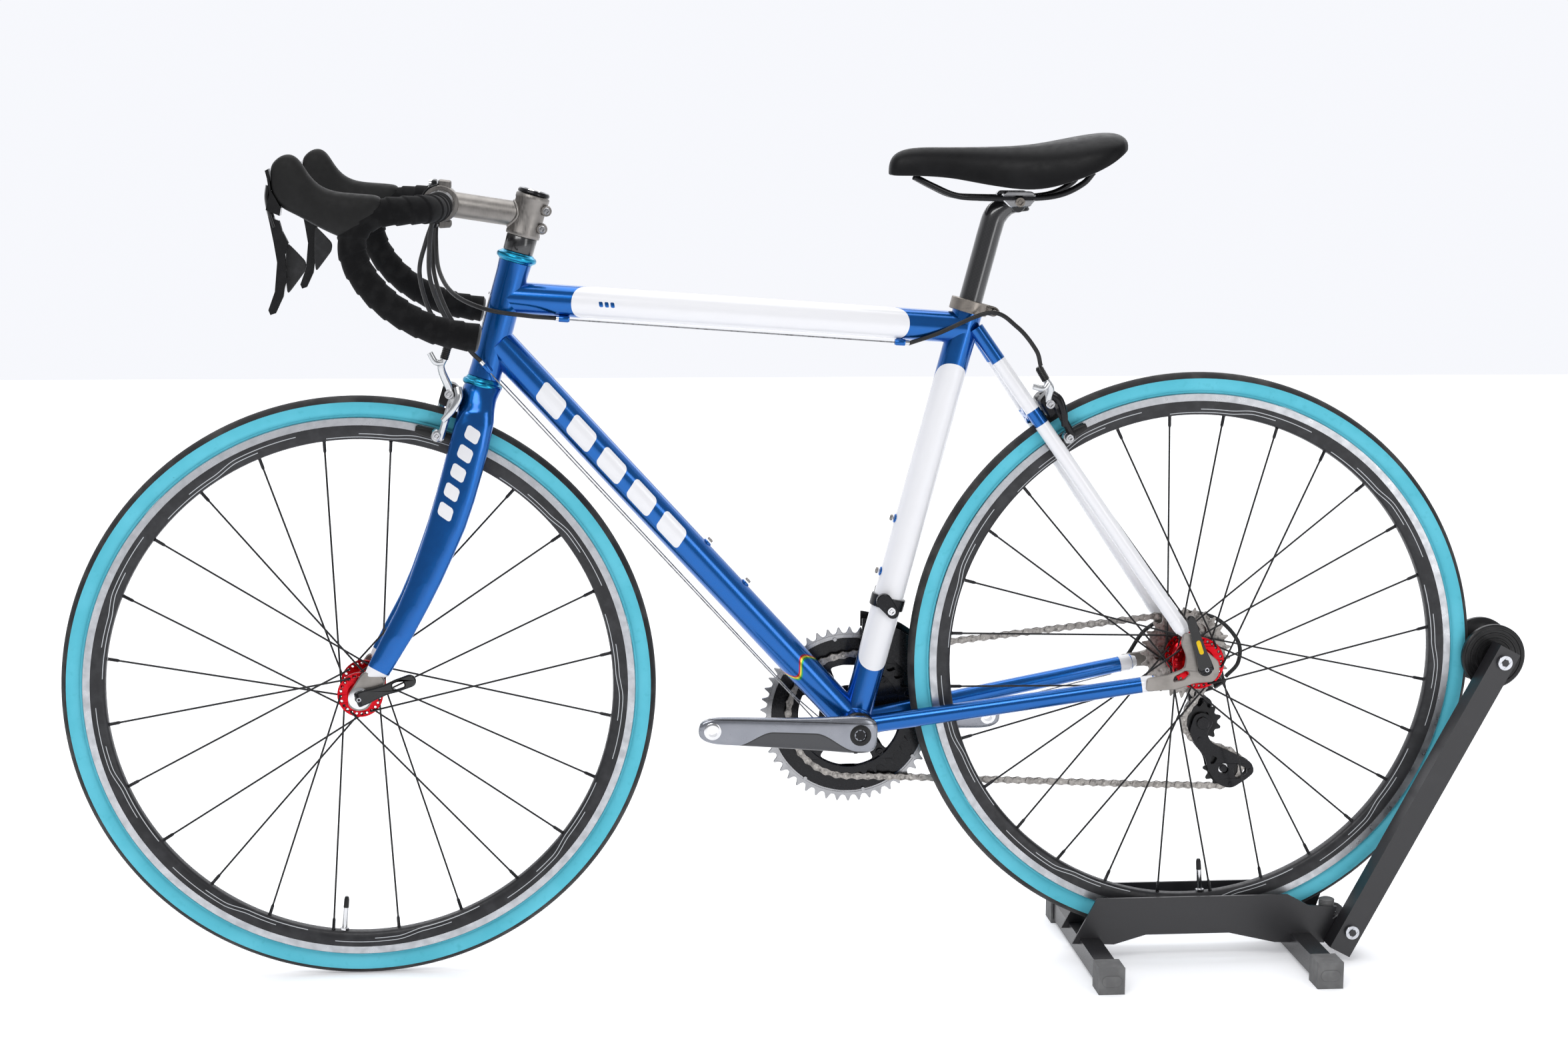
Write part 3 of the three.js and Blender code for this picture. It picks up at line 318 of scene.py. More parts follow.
def candy_paint(name):
    """Clear-coated metallic blue with fine flake and a faint orange peel; returns its look and its blue."""
    look = Look(name, BLUE, 0.3, metal=0.85, coat=0.5, coat_rough=0.04)
    flake = look.cells(9000)
    blue = look.mix(look.ramp(flake, 0.2, 0.8), (0.001, 0.115, 0.42), (0.001, 0.09, 0.35))
    look.colour(blue)
    look.shade(look.noise(60), 0.21, 0.26)
    look.bump(look.noise(350, 1.0), 0.000006)
    return look, blue


def painted(look, blue, white_share):
    """White paint over the blue where the share is 1; the white isn't metallic."""
    look.colour(look.mix(white_share, blue, WHITE))
    look.feed(look.shader.inputs["Metallic"], look.ramp(white_share, 0, 1, 0.85, 0.0))
    return look.material


def plain_candy():
    return candy_paint("blue_paint")[0].material


def panelled_tube(name, start, end, radius, dashes=None):
    """Blue tube with a white panel from start to end; dashes is a row of small blue bars on it."""
    look, blue = candy_paint(name)
    along, from_side = look.along_and_round()
    share = look.tongue(along, from_side, start, end, radius)
    if dashes:
        beside = look.sum("MULTIPLY", from_side, math.pi * radius / 2)
        marks = look.rounded_bars(along, beside, **dashes)
        share = look.sum("MULTIPLY", share, look.sum("SUBTRACT", 1.0, marks))
    return painted(look, blue, share)


def plain_white():
    look = Look("white_paint", WHITE, 0.3, coat=1.0, coat_rough=0.03)
    return look.bump(look.noise(700, 1.0), 0.00002).material


def stay_paint():
    """Seatstay: blue at the top, a blue band lower down, and white between them and to the end."""
    look, blue = candy_paint("seatstay_paint")
    along, _ = look.along_and_round()
    start = look.ramp(along, 44.6, 45.4)
    band = look.sum("MULTIPLY", look.ramp(along, 113.6, 114.4), look.ramp(along, 132.6, 133.4, 1.0, 0.0))
    return painted(look, blue, look.sum("MULTIPLY", start, look.sum("SUBTRACT", 1.0, band)))


def barred_tube(name, radius, ribbon=None, **bars):
    """Blue tube with a row of white bars on each side, and a narrow ribbon of three colours round it."""
    look, blue = candy_paint(name)
    along, from_side = look.along_and_round()
    beside = look.sum("MULTIPLY", from_side, math.pi * radius / 2)
    white = look.rounded_bars(along, beside, **bars)
    material = painted(look, blue, white)
    if ribbon:
        colour = look.shader.inputs["Base Color"].links[0].from_socket
        wave = look.sum("MULTIPLY", look.sum("SINE", look.sum("MULTIPLY", beside, 0.16)), 7.0)
        for shift, tint in ((0, (0.45, 0.01, 0.02)), (2.2, (0.7, 0.55, 0.02)), (4.4, (0.02, 0.3, 0.06))):
            offset = look.sum("SUBTRACT", look.sum("ADD", along, wave), ribbon + shift)
            band = look.ramp(look.sum("ABSOLUTE", offset), 0.95, 1.15, 1.0, 0.0)
            colour = look.mix(band, colour, tint)
        look.colour(colour)
    return material


def anodised(name, colour, rough=0.3):
    look = Look(name, colour, rough, metal=1.0)
    pale = tuple(min(1, c * 1.5 + 0.03) for c in colour)
    look.colour(look.mix(look.ramp(look.noise(90, 3), 0.4, 0.8, 0.0, 0.35), colour, pale))
    return look.shade(look.noise(60), rough * 0.9, rough * 1.2).material


def brushed(name, colour, rough, stretch=(40, 40, 900), relief=0.00002):
    """Metal with fine brush lines across the stretch's long axis, and slightly uneven tone."""
    look = Look(name, colour, rough, metal=1.0)
    lines = look.noise(3.0, 5, stretch=stretch)
    tone = look.mix(look.ramp(look.noise(45, 3), 0.35, 0.7), colour, tuple(c * 0.72 for c in colour))
    look.colour(look.mix(look.ramp(lines, 0.3, 0.7, 0.0, 0.35), tone,
                         tuple(min(1, c * 1.25) for c in colour)))
    look.shade(lines, rough * 0.8, rough * 1.35)
    return look.bump(lines, relief).material


def polished(name, colour=(0.72, 0.72, 0.73), rough=0.14):
    look = Look(name, colour, rough, metal=1.0)
    look.colour(look.mix(look.ramp(look.noise(90, 3), 0.4, 0.8, 0, 0.6), colour,
                         tuple(c * 0.82 for c in colour)))
    return look.shade(look.noise(120, 2), rough * 0.9, rough * 1.3).material


def black_plastic(name, tone=0.008, rough=0.35, grain=0.00003, scale=1800, coat=0.0):
    look = Look(name, (tone, tone, tone * 1.05), rough, coat=coat, specular=0.3)
    dusty = look.ramp(look.noise(90, 4), 0.45, 0.75)
    look.colour(look.mix(dusty, (tone, tone, tone * 1.05), (tone * 1.7, tone * 1.7, tone * 1.8)))
    look.shade(look.noise(200), rough * 0.85, rough * 1.2)
    return look.bump(look.noise(scale, 2), grain).material


def black_metal(name, rough=0.28):
    look = Look(name, (0.016, 0.016, 0.018), rough, metal=0.5, coat=0.15, coat_rough=0.1, specular=0.3)
    worn = look.ramp(look.noise(260, 5), 0.62, 0.72)
    look.colour(look.mix(worn, (0.010, 0.010, 0.0115), (0.018, 0.018, 0.02)))
    look.shade(look.noise(400), rough * 0.7, rough * 1.3)
    return look.bump(look.noise(1500, 2), 0.00002).material


def powder_coat():
    look = Look("powder_coat", (0.011, 0.011, 0.013), 0.36, specular=0.6)
    grit = look.noise(1300, 2)
    look.colour(look.mix(look.ramp(look.noise(30, 4), 0.5, 0.8, 0, 0.5), (0.012, 0.0115, 0.0135),
                         (0.019, 0.0185, 0.021)))
    look.shade(grit, 0.28, 0.42)
    return look.bump(grit, 0.00012).material


def carbon_weave(name):
    look = Look(name, (0.012, 0.012, 0.013), 0.28, coat=1.0, coat_rough=0.03)
    split = look.add("ShaderNodeSeparateXYZ", Vector=look.places.outputs["UV"])
    u = look.sum("MULTIPLY", split.outputs[0], 500.0)
    v = look.sum("MULTIPLY", split.outputs[1], 40.0)
    odd = look.sum("MODULO", look.sum("FLOOR", look.sum("ADD", u, look.sum("FLOOR", v))), 2.0)
    look.colour(look.mix(odd, (0.006, 0.006, 0.007), (0.011, 0.011, 0.012)))
    return look.material


def leather_cover():
    look = Look("saddle_cover", (0.005, 0.005, 0.0055), 0.46, specular=0.16)
    grain = look.cells(1500)
    look.colour(look.mix(look.ramp(look.noise(25, 4), 0.4, 0.75), (0.004, 0.004, 0.0045),
                         (0.007, 0.007, 0.0078)))
    look.shade(look.noise(120, 4), 0.38, 0.5)
    return look.bump(grain, 0.00009, 0.6).material


def tape_cover():
    look = Look("bar_tape", (0.005, 0.005, 0.0055), 0.82, specular=0.12)
    cork = look.cells(900)
    look.colour(look.mix(look.ramp(look.noise(70, 5), 0.45, 0.7), (0.004, 0.004, 0.0045),
                         (0.009, 0.009, 0.0095)))
    look.bump(cork, 0.00018, 0.7)
    look.bump(look.noise(220, 4), 0.0004, 0.5)
    return look.set("Sheen Weight", 0.03).material


def soft_rubber(name, tone=0.018, rough=0.7, scale=2200):
    look = Look(name, (tone, tone, tone), rough, specular=0.2)
    look.colour(look.mix(look.ramp(look.noise(60, 4), 0.4, 0.75), (tone,) * 3, (tone * 1.3,) * 3))
    look.shade(look.noise(150), rough * 0.88, min(1.0, rough * 1.12))
    return look.bump(look.noise(scale, 2), 0.00006).material


def tread_rubber():
    """Black tread with a fine criss-cross file pattern, dusty where it has rolled."""
    look = Look("tyre_tread", (0.016, 0.016, 0.017), 0.72, specular=0.35)
    split = look.add("ShaderNodeSeparateXYZ", Vector=look.places.outputs["UV"])
    u, v = look.sum("MULTIPLY", split.outputs[0], 2600.0), look.sum("MULTIPLY", split.outputs[1], 90.0)
    rows = [look.sum("SINE", look.sum(way, u, v)) for way in ("ADD", "SUBTRACT")]
    look.bump(look.sum("MULTIPLY", rows[0], rows[1]), 0.00008, 0.6)
    look.colour(look.mix(look.ramp(look.noise(40, 5), 0.4, 0.75), (0.014, 0.014, 0.015),
                         (0.045, 0.044, 0.043)))
    return look.material


def wall_rubber():
    """Turquoise side wall, a little grubby, with a faint fine-grained relief."""
    look = Look("tyre_wall", (0.09, 0.52, 0.62), 0.62, specular=0.35)
    grime = look.ramp(look.noise(110, 6), 0.55, 0.8, 0, 0.45)
    specks = look.ramp(look.noise(420, 4), 0.7, 0.76, 0, 0.5)
    fresh = look.mix(look.ramp(look.noise(18, 3), 0.35, 0.7), (0.085, 0.47, 0.59), (0.11, 0.52, 0.65))
    look.colour(look.mix(specks, look.mix(grime, fresh, (0.05, 0.36, 0.45)), (0.03, 0.2, 0.25)))
    return look.bump(look.noise(900, 3), 0.00007).material


def rim_black(centre, name):
    """Matt black aero rim with thin outlined flashes, generic, on each side."""
    look = Look(name, (0.014, 0.014, 0.016), 0.42, metal=0.2)
    radius, turns = look.polar(centre)
    dark = look.mix(look.ramp(look.noise(70, 4), 0.4, 0.7), (0.013, 0.013, 0.015), (0.024, 0.024, 0.027))
    ninths = look.sum("FRACT", look.sum("MULTIPLY", turns, 9.0))
    slope = look.sum("ADD", radius, look.sum("MULTIPLY", look.ramp(ninths, 0.42, 0.58), 4.2))
    lines = 0.0
    for level, first, last in ((296.9, 0.08, 0.74), (293.1, 0.3, 0.92)):
        near = look.ramp(look.sum("ABSOLUTE", look.sum("SUBTRACT", slope, level)), 0.28, 0.5, 1.0, 0.0)
        part = look.sum("MULTIPLY", look.sum("GREATER_THAN", ninths, first),
                        look.sum("LESS_THAN", ninths, last))
        lines = look.sum("MAXIMUM", lines, look.sum("MULTIPLY", near, part))
    look.colour(look.mix(lines, dark, (0.5, 0.52, 0.54)))
    look.shade(look.noise(300), 0.34, 0.5)
    return look.material


def brake_track(centre, name):
    """Machined silver band: fine turned grooves that follow the rim."""
    look = Look(name, (0.60, 0.61, 0.62), 0.33, metal=1.0)
    radius, _ = look.polar(centre)
    grooves = look.sum("SINE", look.sum("MULTIPLY", radius, 18.0))
    patches = look.noise(90, 5)
    look.colour(look.mix(look.ramp(patches, 0.35, 0.75), (0.52, 0.53, 0.55), (0.42, 0.43, 0.45)))
    look.shade(patches, 0.24, 0.42)
    return look.bump(grooves, 0.00002).material


def greasy_steel(name, colour=(0.34, 0.32, 0.30), rough=0.34):
    look = Look(name, colour, rough, metal=1.0)
    oil = look.ramp(look.noise(240, 5), 0.45, 0.7)
    look.colour(look.mix(oil, colour, tuple(c * 0.45 for c in colour)))
    look.shade(look.noise(380, 4), rough * 0.7, rough * 1.5)
    return look.bump(look.noise(1800, 3), 0.00002).material


# ---------- mesh building ----------
SMOOTH_ANGLE = math.radians(38)


def piece(name, places, faces, material, body, stands_for=(), slot=None, uvs=None, smooth=True):
    """A mesh piece from drawing places, riding on a body."""
    mesh = bpy.data.meshes.new(name)
    mesh.from_pydata([spot(p) for p in places], [], faces)
    if uvs:
        layer = mesh.uv_layers.new(name="UVMap")
        flat = [n for face in uvs for corner in face for n in corner]
        layer.data.foreach_set("uv", flat)
    return settle(name, mesh, material, body, stands_for, smooth)


def settle(name, mesh, material, body, stands_for=(), smooth=True):
    mesh.validate()
    solid = bmesh.new()
    solid.from_mesh(mesh)
    bmesh.ops.remove_doubles(solid, verts=solid.verts, dist=1e-7)
    bmesh.ops.recalc_face_normals(solid, faces=solid.faces)
    solid.to_mesh(mesh)
    solid.free()
    if smooth:
        mesh.shade_smooth()
        mesh.set_sharp_from_angle(angle=SMOOTH_ANGLE)
    obj = bpy.data.objects.new(name, mesh)
    bpy.context.scene.collection.objects.link(obj)
    for each in material if isinstance(material, (list, tuple)) else [material]:
        mesh.materials.append(each)
    if body:
        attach(obj, body)
    if stands_for:
        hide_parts(*stands_for)
    return obj


def subdivide(obj, levels=2):
    smoothing = obj.modifiers.new("Smooth", "SUBSURF")
    smoothing.levels = smoothing.render_levels = levels
    return obj


def through(points, steps=12):
    """A smooth line through the points (Catmull-Rom), with `steps` pieces between neighbours."""
    points = [Vector(p) for p in points]
    ends = [points[0] * 2 - points[1], *points, points[-1] * 2 - points[-2]]
    line = []
    for i in range(1, len(ends) - 2):
        p0, p1, p2, p3 = ends[i - 1 : i + 3]
        for k in range(steps):
            t = k / steps
            line.append(
                0.5 * (2 * p1 + (p2 - p0) * t + (2 * p0 - 5 * p1 + 4 * p2 - p3) * t * t
                       + (3 * p1 - p0 - 3 * p2 + p3) * t**3))
    return [*line, points[-1]]


def carried_frames(line, first_side=None):
    """At each point of a line: its tangent and two directions across it that turn as little as they can."""
    tangents = []
    for i in range(len(line)):
        tangents.append((line[min(i + 1, len(line) - 1)] - line[max(i - 1, 0)]).normalized())
    side = first_side or (ACROSS if abs(tangents[0].y) < 0.9 else UP)
    frames = []
    for tangent in tangents:
        side = (side - tangent * side.dot(tangent)).normalized()
        frames.append((tangent, side, tangent.cross(side)))
    return frames


def tube(name, line, radius, material, body, sides=32, relief=None, **rest):
    """A round or oval tube along a line; radius is a number, (wide, deep) or a function of the share along.

    relief(distance, turn) adds to the radius. The UV holds the distance along in metres and the share round,
    which is 0.25 and 0.75 on the line's two sides.
    """
    line = [Vector(p) for p in line]
    lengths = [0.0]
    for a, b in zip(line, line[1:]):
        lengths.append(lengths[-1] + (b - a).length)
    places, faces, uvs = [], [], []
    for i, (point, (_, side, over)) in enumerate(zip(line, carried_frames(line))):
        size = radius(lengths[i] / lengths[-1]) if callable(radius) else radius
        wide, deep = size if isinstance(size, tuple) else (size, size)
        for k in range(sides):
            angle = 2 * math.pi * k / sides
            more = relief(lengths[i], k / sides) if relief else 0.0
            up, out = (deep + more) * math.cos(angle), (wide + more) * math.sin(angle)
            places.append(point + over * up + side * out)
    for i in range(len(line) - 1):
        for k in range(sides):
            after = (k + 1) % sides
            faces.append((i * sides + k, i * sides + after, (i + 1) * sides + after, (i + 1) * sides + k))
            u0, u1 = lengths[i] * MM, lengths[i + 1] * MM
            v0, v1 = k / sides, (k + 1) / sides
            uvs.append(((u0, v0), (u0, v1), (u1, v1), (u1, v0)))
    for end, order in ((0, range(sides - 1, -1, -1)), (len(line) - 1, range(sides))):
        faces.append(tuple(end * sides + k for k in order))
        uvs.append(tuple((lengths[end] * MM, 0.5) for _ in range(sides)))
    return piece(name, places, faces, material, body, uvs=uvs, **rest)


def straight(a, b, count=2):
    a, b = Vector(a), Vector(b)
    return [a.lerp(b, i / (count - 1)) for i in range(count)]


def turned(name, profile, centre, way, material, body, sides=64, sweep=None, **rest):
    """A turned piece: the profile's (radius, along) points swept about a line through centre along `way`.

    The profile is closed on itself unless it starts and ends at radius 0. The UV holds the angle in turns and
    the share along the profile; material may be a list, with `sweep` giving each profile step's index.
    """
    centre, way = Vector(centre), Vector(way).normalized()
    side = way.orthogonal().normalized()
    over = way.cross(side)
    closed = profile[0][0] > 0 or profile[-1][0] > 0
    ring = list(profile)
    count = len(ring)
    places = []
    for k in range(sides):
        angle = 2 * math.pi * k / sides
        out = side * math.cos(angle) + over * math.sin(angle)
        places.extend(centre + way * along + out * r for r, along in ring)
    faces, uvs, groups = [], [], []
    for k in range(sides):
        after = (k + 1) % sides
        for i in range(count if closed else count - 1):
            j = (i + 1) % count
            faces.append((k * count + i, k * count + j, after * count + j, after * count + i))
            u0, u1, v0, v1 = k / sides, (k + 1) / sides, i / count, (i + 1) / count
            uvs.append(((u0, v0), (u0, v1), (u1, v1), (u1, v0)))
            groups.append(sweep[i] if sweep else 0)
    obj = piece(name, places, faces, material, body, uvs=uvs, **rest)
    if sweep:
        obj.data.polygons.foreach_set("material_index", groups[: len(obj.data.polygons)])
    return obj


def signed_area(loop):
    return sum(a[0] * b[1] - b[0] * a[1] for a, b in zip(loop, loop[1:] + loop[:1])) / 2


def shifted_in(loop, amount):
    """A loop moved to its left by the amount, which is into the material."""
    moved = []
    for i, here in enumerate(loop):
        before, after = Vector(loop[i - 1]), Vector(loop[(i + 1) % len(loop)])
        here = Vector(here)
        lefts = []
        for a, b in ((before, here), (here, after)):
            way = (b - a).normalized()
            lefts.append(Vector((-way.y, way.x)))
        bisector = (lefts[0] + lefts[1]) / max(0.35, 1 + lefts[0].dot(lefts[1]))
        moved.append(here + bisector * amount)
    return moved


def plate(name, loops, low, high, material, body, bevel=0.3, right=FORE, over=UP, base=None, **rest):
    """A flat plate with holes: loops are outlines in the plane of `right` and `over`, the outer one first.

    It runs from low to high along right x over turned to face +Y for the usual side plane.
    """
    normal = -Vector(right).cross(Vector(over))
    base = Vector(base or (0, 0, 0))
    turned_loops = []
    for i, loop in enumerate(loops):
        loop = [tuple(p) for p in loop]
        anticlockwise = signed_area(loop) > 0
        turned_loops.append(loop if anticlockwise == (i == 0) else loop[::-1])
    levels = [(low, 0), (high, 0)]
    if bevel:
        levels = [(low, bevel), (low + bevel, 0), (high - bevel, 0), (high, bevel)]
    places, starts = [], []
    for height, inset in levels:
        starts.append([])
        for loop in turned_loops:
            starts[-1].append(len(places))
            flat = shifted_in(loop, inset) if inset else [Vector(p) for p in loop]
            places.extend(base + Vector(right) * p.x + Vector(over) * p.y + normal * height for p in flat)
    faces = []
    for below, above in zip(starts, starts[1:]):
        for loop, a, b in zip(turned_loops, below, above):
            n = len(loop)
            faces.extend((a + (k + 1) % n, a + k, b + k, b + (k + 1) % n) for k in range(n))
    flat = [[Vector((*p, 0)) for p in loop] for loop in turned_loops]
    for triangle in tessellate_polygon(flat):
        a, b, c = (flat_place(turned_loops, i) for i in triangle)
        if (b - a).cross(c - a) < 0:
            triangle = triangle[::-1]
        faces.append(tuple(starts[0][0] + i for i in triangle))
        faces.append(tuple(starts[-1][0] + i for i in triangle[::-1]))
    return piece(name, places, faces, material, body, **rest)


def flat_place(loops, index):
    for loop in loops:
        if index < len(loop):
            return Vector(loop[index])
        index -= len(loop)


def circle(x, z, radius, count=32):
    return [(x + radius * math.cos(2 * math.pi * k / count), z + radius * math.sin(2 * math.pi * k / count))
            for k in range(count)]


def link(a, radius_a, b, radius_b, count=12):
    """Outline of two round ends joined by their straight tangents."""
    a, b = Vector(a), Vector(b)
    angle = math.atan2(b.y - a.y, b.x - a.x)
    lean = math.acos((radius_a - radius_b) / (b - a).length)
    loop = []
    for centre, radius, first, last in (
        (a, radius_a, angle + lean, angle - lean + 2 * math.pi),
        (b, radius_b, angle - lean, angle + lean),
    ):
        for k in range(count + 1):
            turn = first + (last - first) * k / count
            loop.append((centre.x + radius * math.cos(turn), centre.y + radius * math.sin(turn)))
    return loop


def rounded(points, radius, count=5):
    """A polygon with its corners rounded."""
    loop = []
    for i, here in enumerate(points):
        here, before, after = Vector(here), Vector(points[i - 1]), Vector(points[(i + 1) % len(points)])
        to_before, to_after = before - here, after - here
        reach = min(radius, to_before.length / 2.2, to_after.length / 2.2)
        start, end = here + to_before.normalized() * reach, here + to_after.normalized() * reach
        for k in range(count + 1):
            t = k / count
            loop.append(tuple(start * (1 - t) ** 2 + here * (2 * t * (1 - t)) + end * t**2))
    return loop


def skin(name, sections, material, body, levels=2, cap=True, **rest):
    """A closed skin over loops of equal count, smoothed by subdivision."""
    count = len(sections[0])
    places = [p for section in sections for p in section]
    faces = []
    for i in range(len(sections) - 1):
        for k in range(count):
            after = (k + 1) % count
            faces.append((i * count + k, i * count + after, (i + 1) * count + after, (i + 1) * count + k))
    if cap:
        for end, order in ((0, range(count - 1, -1, -1)), (len(sections) - 1, range(count))):
            faces.append(tuple(end * count + k for k in order))
    return subdivide(piece(name, places, faces, material, body, **rest), levels)


def hex_bolt(name, place, way, size, head, material, body, socket=True):
    """A round-headed bolt with a six-sided socket sunk into it, its head standing `head` along `way`."""
    way = Vector(way).normalized()
    right = way.orthogonal().normalized()
    over = way.cross(right)
    outer = circle(0, 0, size, 28)
    hole = circle(0, 0, size * 0.5, 6)
    parts = [plate(name, [outer, hole] if socket else [outer], -head, 0, material, body, 0.35, right, over,
                   place)]
    if socket:
        parts.append(plate(f"{name}_socket", [circle(0, 0, size * 0.52, 6)], -head * 0.4, 0, material, body,
                           0, right, over, place))
    return parts


def bevelled(node, material, width=0.6):
    """Keeps a CAD node, with its edges rounded and a better material."""
    obj = frame["nodes"][node]
    obj.data.materials.clear()
    obj.data.materials.append(material)
    obj.data.shade_smooth()
    obj.data.set_sharp_from_angle(angle=SMOOTH_ANGLE)
    edge = obj.modifiers.new("Edge", "BEVEL")
    edge.width = width * MM
    edge.segments = 2
    edge.limit_method = "ANGLE"
    edge.angle_limit = math.radians(32)
    edge.harden_normals = True
    return obj


# ---------- frame ----------
HEAD_RADIUS, TOP_RADIUS, DOWN_RADIUS, SEAT_RADIUS = 18, 18, 19, 17.3
TOP_LINE = (Vector((166, 0, 780)), Vector((688, 0, 744.5)))
DOWN_LINE = (Vector((154, 0, 733)), CRANK_AXIS)


def weld(name, start, end, radius, wall_point, wall_way, wall_radius, body="frame"):
    """The painted weld bead where a tube's end meets the side of another tube."""
    start, end = Vector(start), Vector(end)
    way = (start - end).normalized()
    side = ACROSS
    over = way.cross(side)
    loop = []
    for k in range(73):
        angle = 2 * math.pi * k / 72
        ray = end + side * (radius * math.sin(angle)) + over * (radius * math.cos(angle))
        gap = ray - Vector(wall_point)
        flat_gap = gap - Vector(wall_way) * gap.dot(wall_way)
        flat_way = way - Vector(wall_way) * way.dot(wall_way)
        a, b = flat_way.length_squared, flat_gap.dot(flat_way)
        c = flat_gap.length_squared - wall_radius**2
        root = b * b - a * c
        if root < 0:
            return None
        loop.append(ray + way * ((-b - math.sqrt(root)) / a))
    return tube(name, loop, lambda share: 2.0 + 0.15 * math.sin(share * 260), CANDY, body, 12)


def frame_tubes():
    head = straight(on_head(5.1), on_head(138.9), 12)
    tube("head_tube_skin", head, head_swell, CANDY, "frame", 64, stands_for=("head_tube",), slot="blue_paint")
    top = straight(TOP_LINE[0], TOP_LINE[1], 24)
    tube("top_tube_skin", top, TOP_RADIUS, TOP_PAINT, "frame", 64, stands_for=("top_tube",),
         slot="white_paint")
    down = straight(on_down(6), DOWN_LINE[1], 24)
    tube("down_tube_skin", down, DOWN_RADIUS, DOWN_PAINT, "frame", 64, stands_for=("down_tube",),
         slot="blue_paint")
    seat = straight(CRANK_AXIS, on_seat(0), 24)
    tube("seat_tube_skin", seat, SEAT_RADIUS, SEAT_PAINT, "frame", 64, stands_for=("seat_tube",),
         slot="white_paint")
    shell = [(20, -34), (20, 34), (13, 34), (13, -34)]
    turned("bracket_shell", rounded(shell, 0.8, 2), CRANK_AXIS, ACROSS, CANDY, "frame", 64)
    for side in (-1, 1):
        cup = [(13, 34.2), (19, 34.2), (21.5, 35.5), (21.5, 42), (19, 43.2), (13, 43.2)]
        cup = [(r, along * side) for r, along in cup]
        turned(f"bearing_cup_{side_word(side)}", rounded(cup, 0.7, 2), CRANK_AXIS, ACROSS, BLACK_METAL,
               "frame", 64)
    weld("weld_top_head", TOP_LINE[0], TOP_LINE[1], TOP_RADIUS, HEAD_BASE, HEAD_WAY, HEAD_RADIUS)
    weld("weld_down_head", DOWN_LINE[0], DOWN_LINE[1], DOWN_RADIUS, HEAD_BASE, HEAD_WAY, HEAD_RADIUS)
    weld("weld_top_seat", TOP_LINE[1], TOP_LINE[0], TOP_RADIUS, SEAT_TOP, SEAT_WAY, SEAT_RADIUS)
    weld("weld_down_seat", DOWN_LINE[1], DOWN_LINE[0], DOWN_RADIUS, CRANK_AXIS, SEAT_WAY, SEAT_RADIUS)
    weld("weld_seat_shell", CRANK_AXIS, SEAT_TOP, SEAT_RADIUS, CRANK_AXIS, ACROSS, 20)


def side_word(side):
    return "left" if side < 0 else "right"


def head_swell(share):
    """The head tube's radius: a shallow collar at each end."""
    edge = min(share, 1 - share)
    return HEAD_RADIUS + (0.7 if edge < 0.03 else 0.0)


def on_down(distance):
    return DOWN_LINE[0].lerp(DOWN_LINE[1], distance / (DOWN_LINE[1] - DOWN_LINE[0]).length)


def stays():
    for side in (-1, 1):
        word = side_word(side)
        top, end = Vector((699, side * 12, 745)), Vector((936, side * 61, 402))
        line = straight(top, end, 24)
        sheath = tube(f"seatstay_{word}", line, 8.5, STAY_PAINT, "frame", 40, slot="white_paint")
        if side < 0:
            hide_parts("seatstays")
        start, stop = Vector((583, side * 17, 287)), Vector((905, side * 61, 340))
        bend = through([start, start.lerp(stop, 0.4) + ACROSS * side * 1.5, stop], 12)
        tube(f"chainstay_{word}", bend, lambda s: (10.2 - 1.4 * s, 10.7 - 1.5 * s), CANDY, "frame", 40,
             stands_for=(f"{word}_chainstay",), slot="blue_paint")
        for label, tip, back, size in (("seatstay", end, top, 8.5), ("chainstay", stop, start, 9.3)):
            way = (tip - back).normalized()
            cap = [(size + 0.4, -15), (size + 0.5, -4), (size + 0.1, -2), (size - 3.2, 6), (0, 9)]
            ring = [(0, -15), *cap]
            turned(f"{label}_end_{word}", ring, tip, way, WHITE_PAINT, "frame", 40)
        dropout(side)
    for shift in (-1, 1):
        tube(f"bridge_{side_word(shift)}", straight(BRIDGE, BRIDGE + ACROSS * shift * 22, 4), 7, CANDY,
             "frame", 32)
    bridge_barrel = [(9.5, -7), (10.5, -6), (10.5, 6), (9.5, 7), (3.4, 7), (3.4, -7)]
    turned("brake_bridge_boss", bridge_barrel, BRIDGE, (0.94, 0, 0.34), CANDY, "frame", 40)


def dropout(side):
    """Raw metal dropout: a hooded plate with its slot, and on the chain side the derailleur hanger."""
    word = side_word(side)
    near, far = (65.3, 71) if side > 0 else (-71, -65.3)
    axle = (REAR_AXLE.x, REAR_AXLE.z)
    outline = [(894, 347), (893, 332), (930, 334), (950, 341), (972, 342), (979, 352), (978, 366), (966, 376),
               (956, 383), (948, 398), (936, 400), (933, 388), (940, 372), (938, 358), (920, 351)]
    holes = [circle(*axle, 5.2, 24), rounded([(925, 343), (938, 345), (945, 352), (940, 356), (926, 349)], 3)]
    plate(f"dropout_{word}", [rounded(outline, 5), *holes], near, far, RAW_METAL, "frame", 0.8)
    if side > 0:
        hanger = link((970, 346), 11, (974, 331), 9.5)
        plate("derailleur_hanger", [hanger, circle(974, 331, 4, 20)], 66.4, 71.2, RAW_METAL, "frame", 0.8)


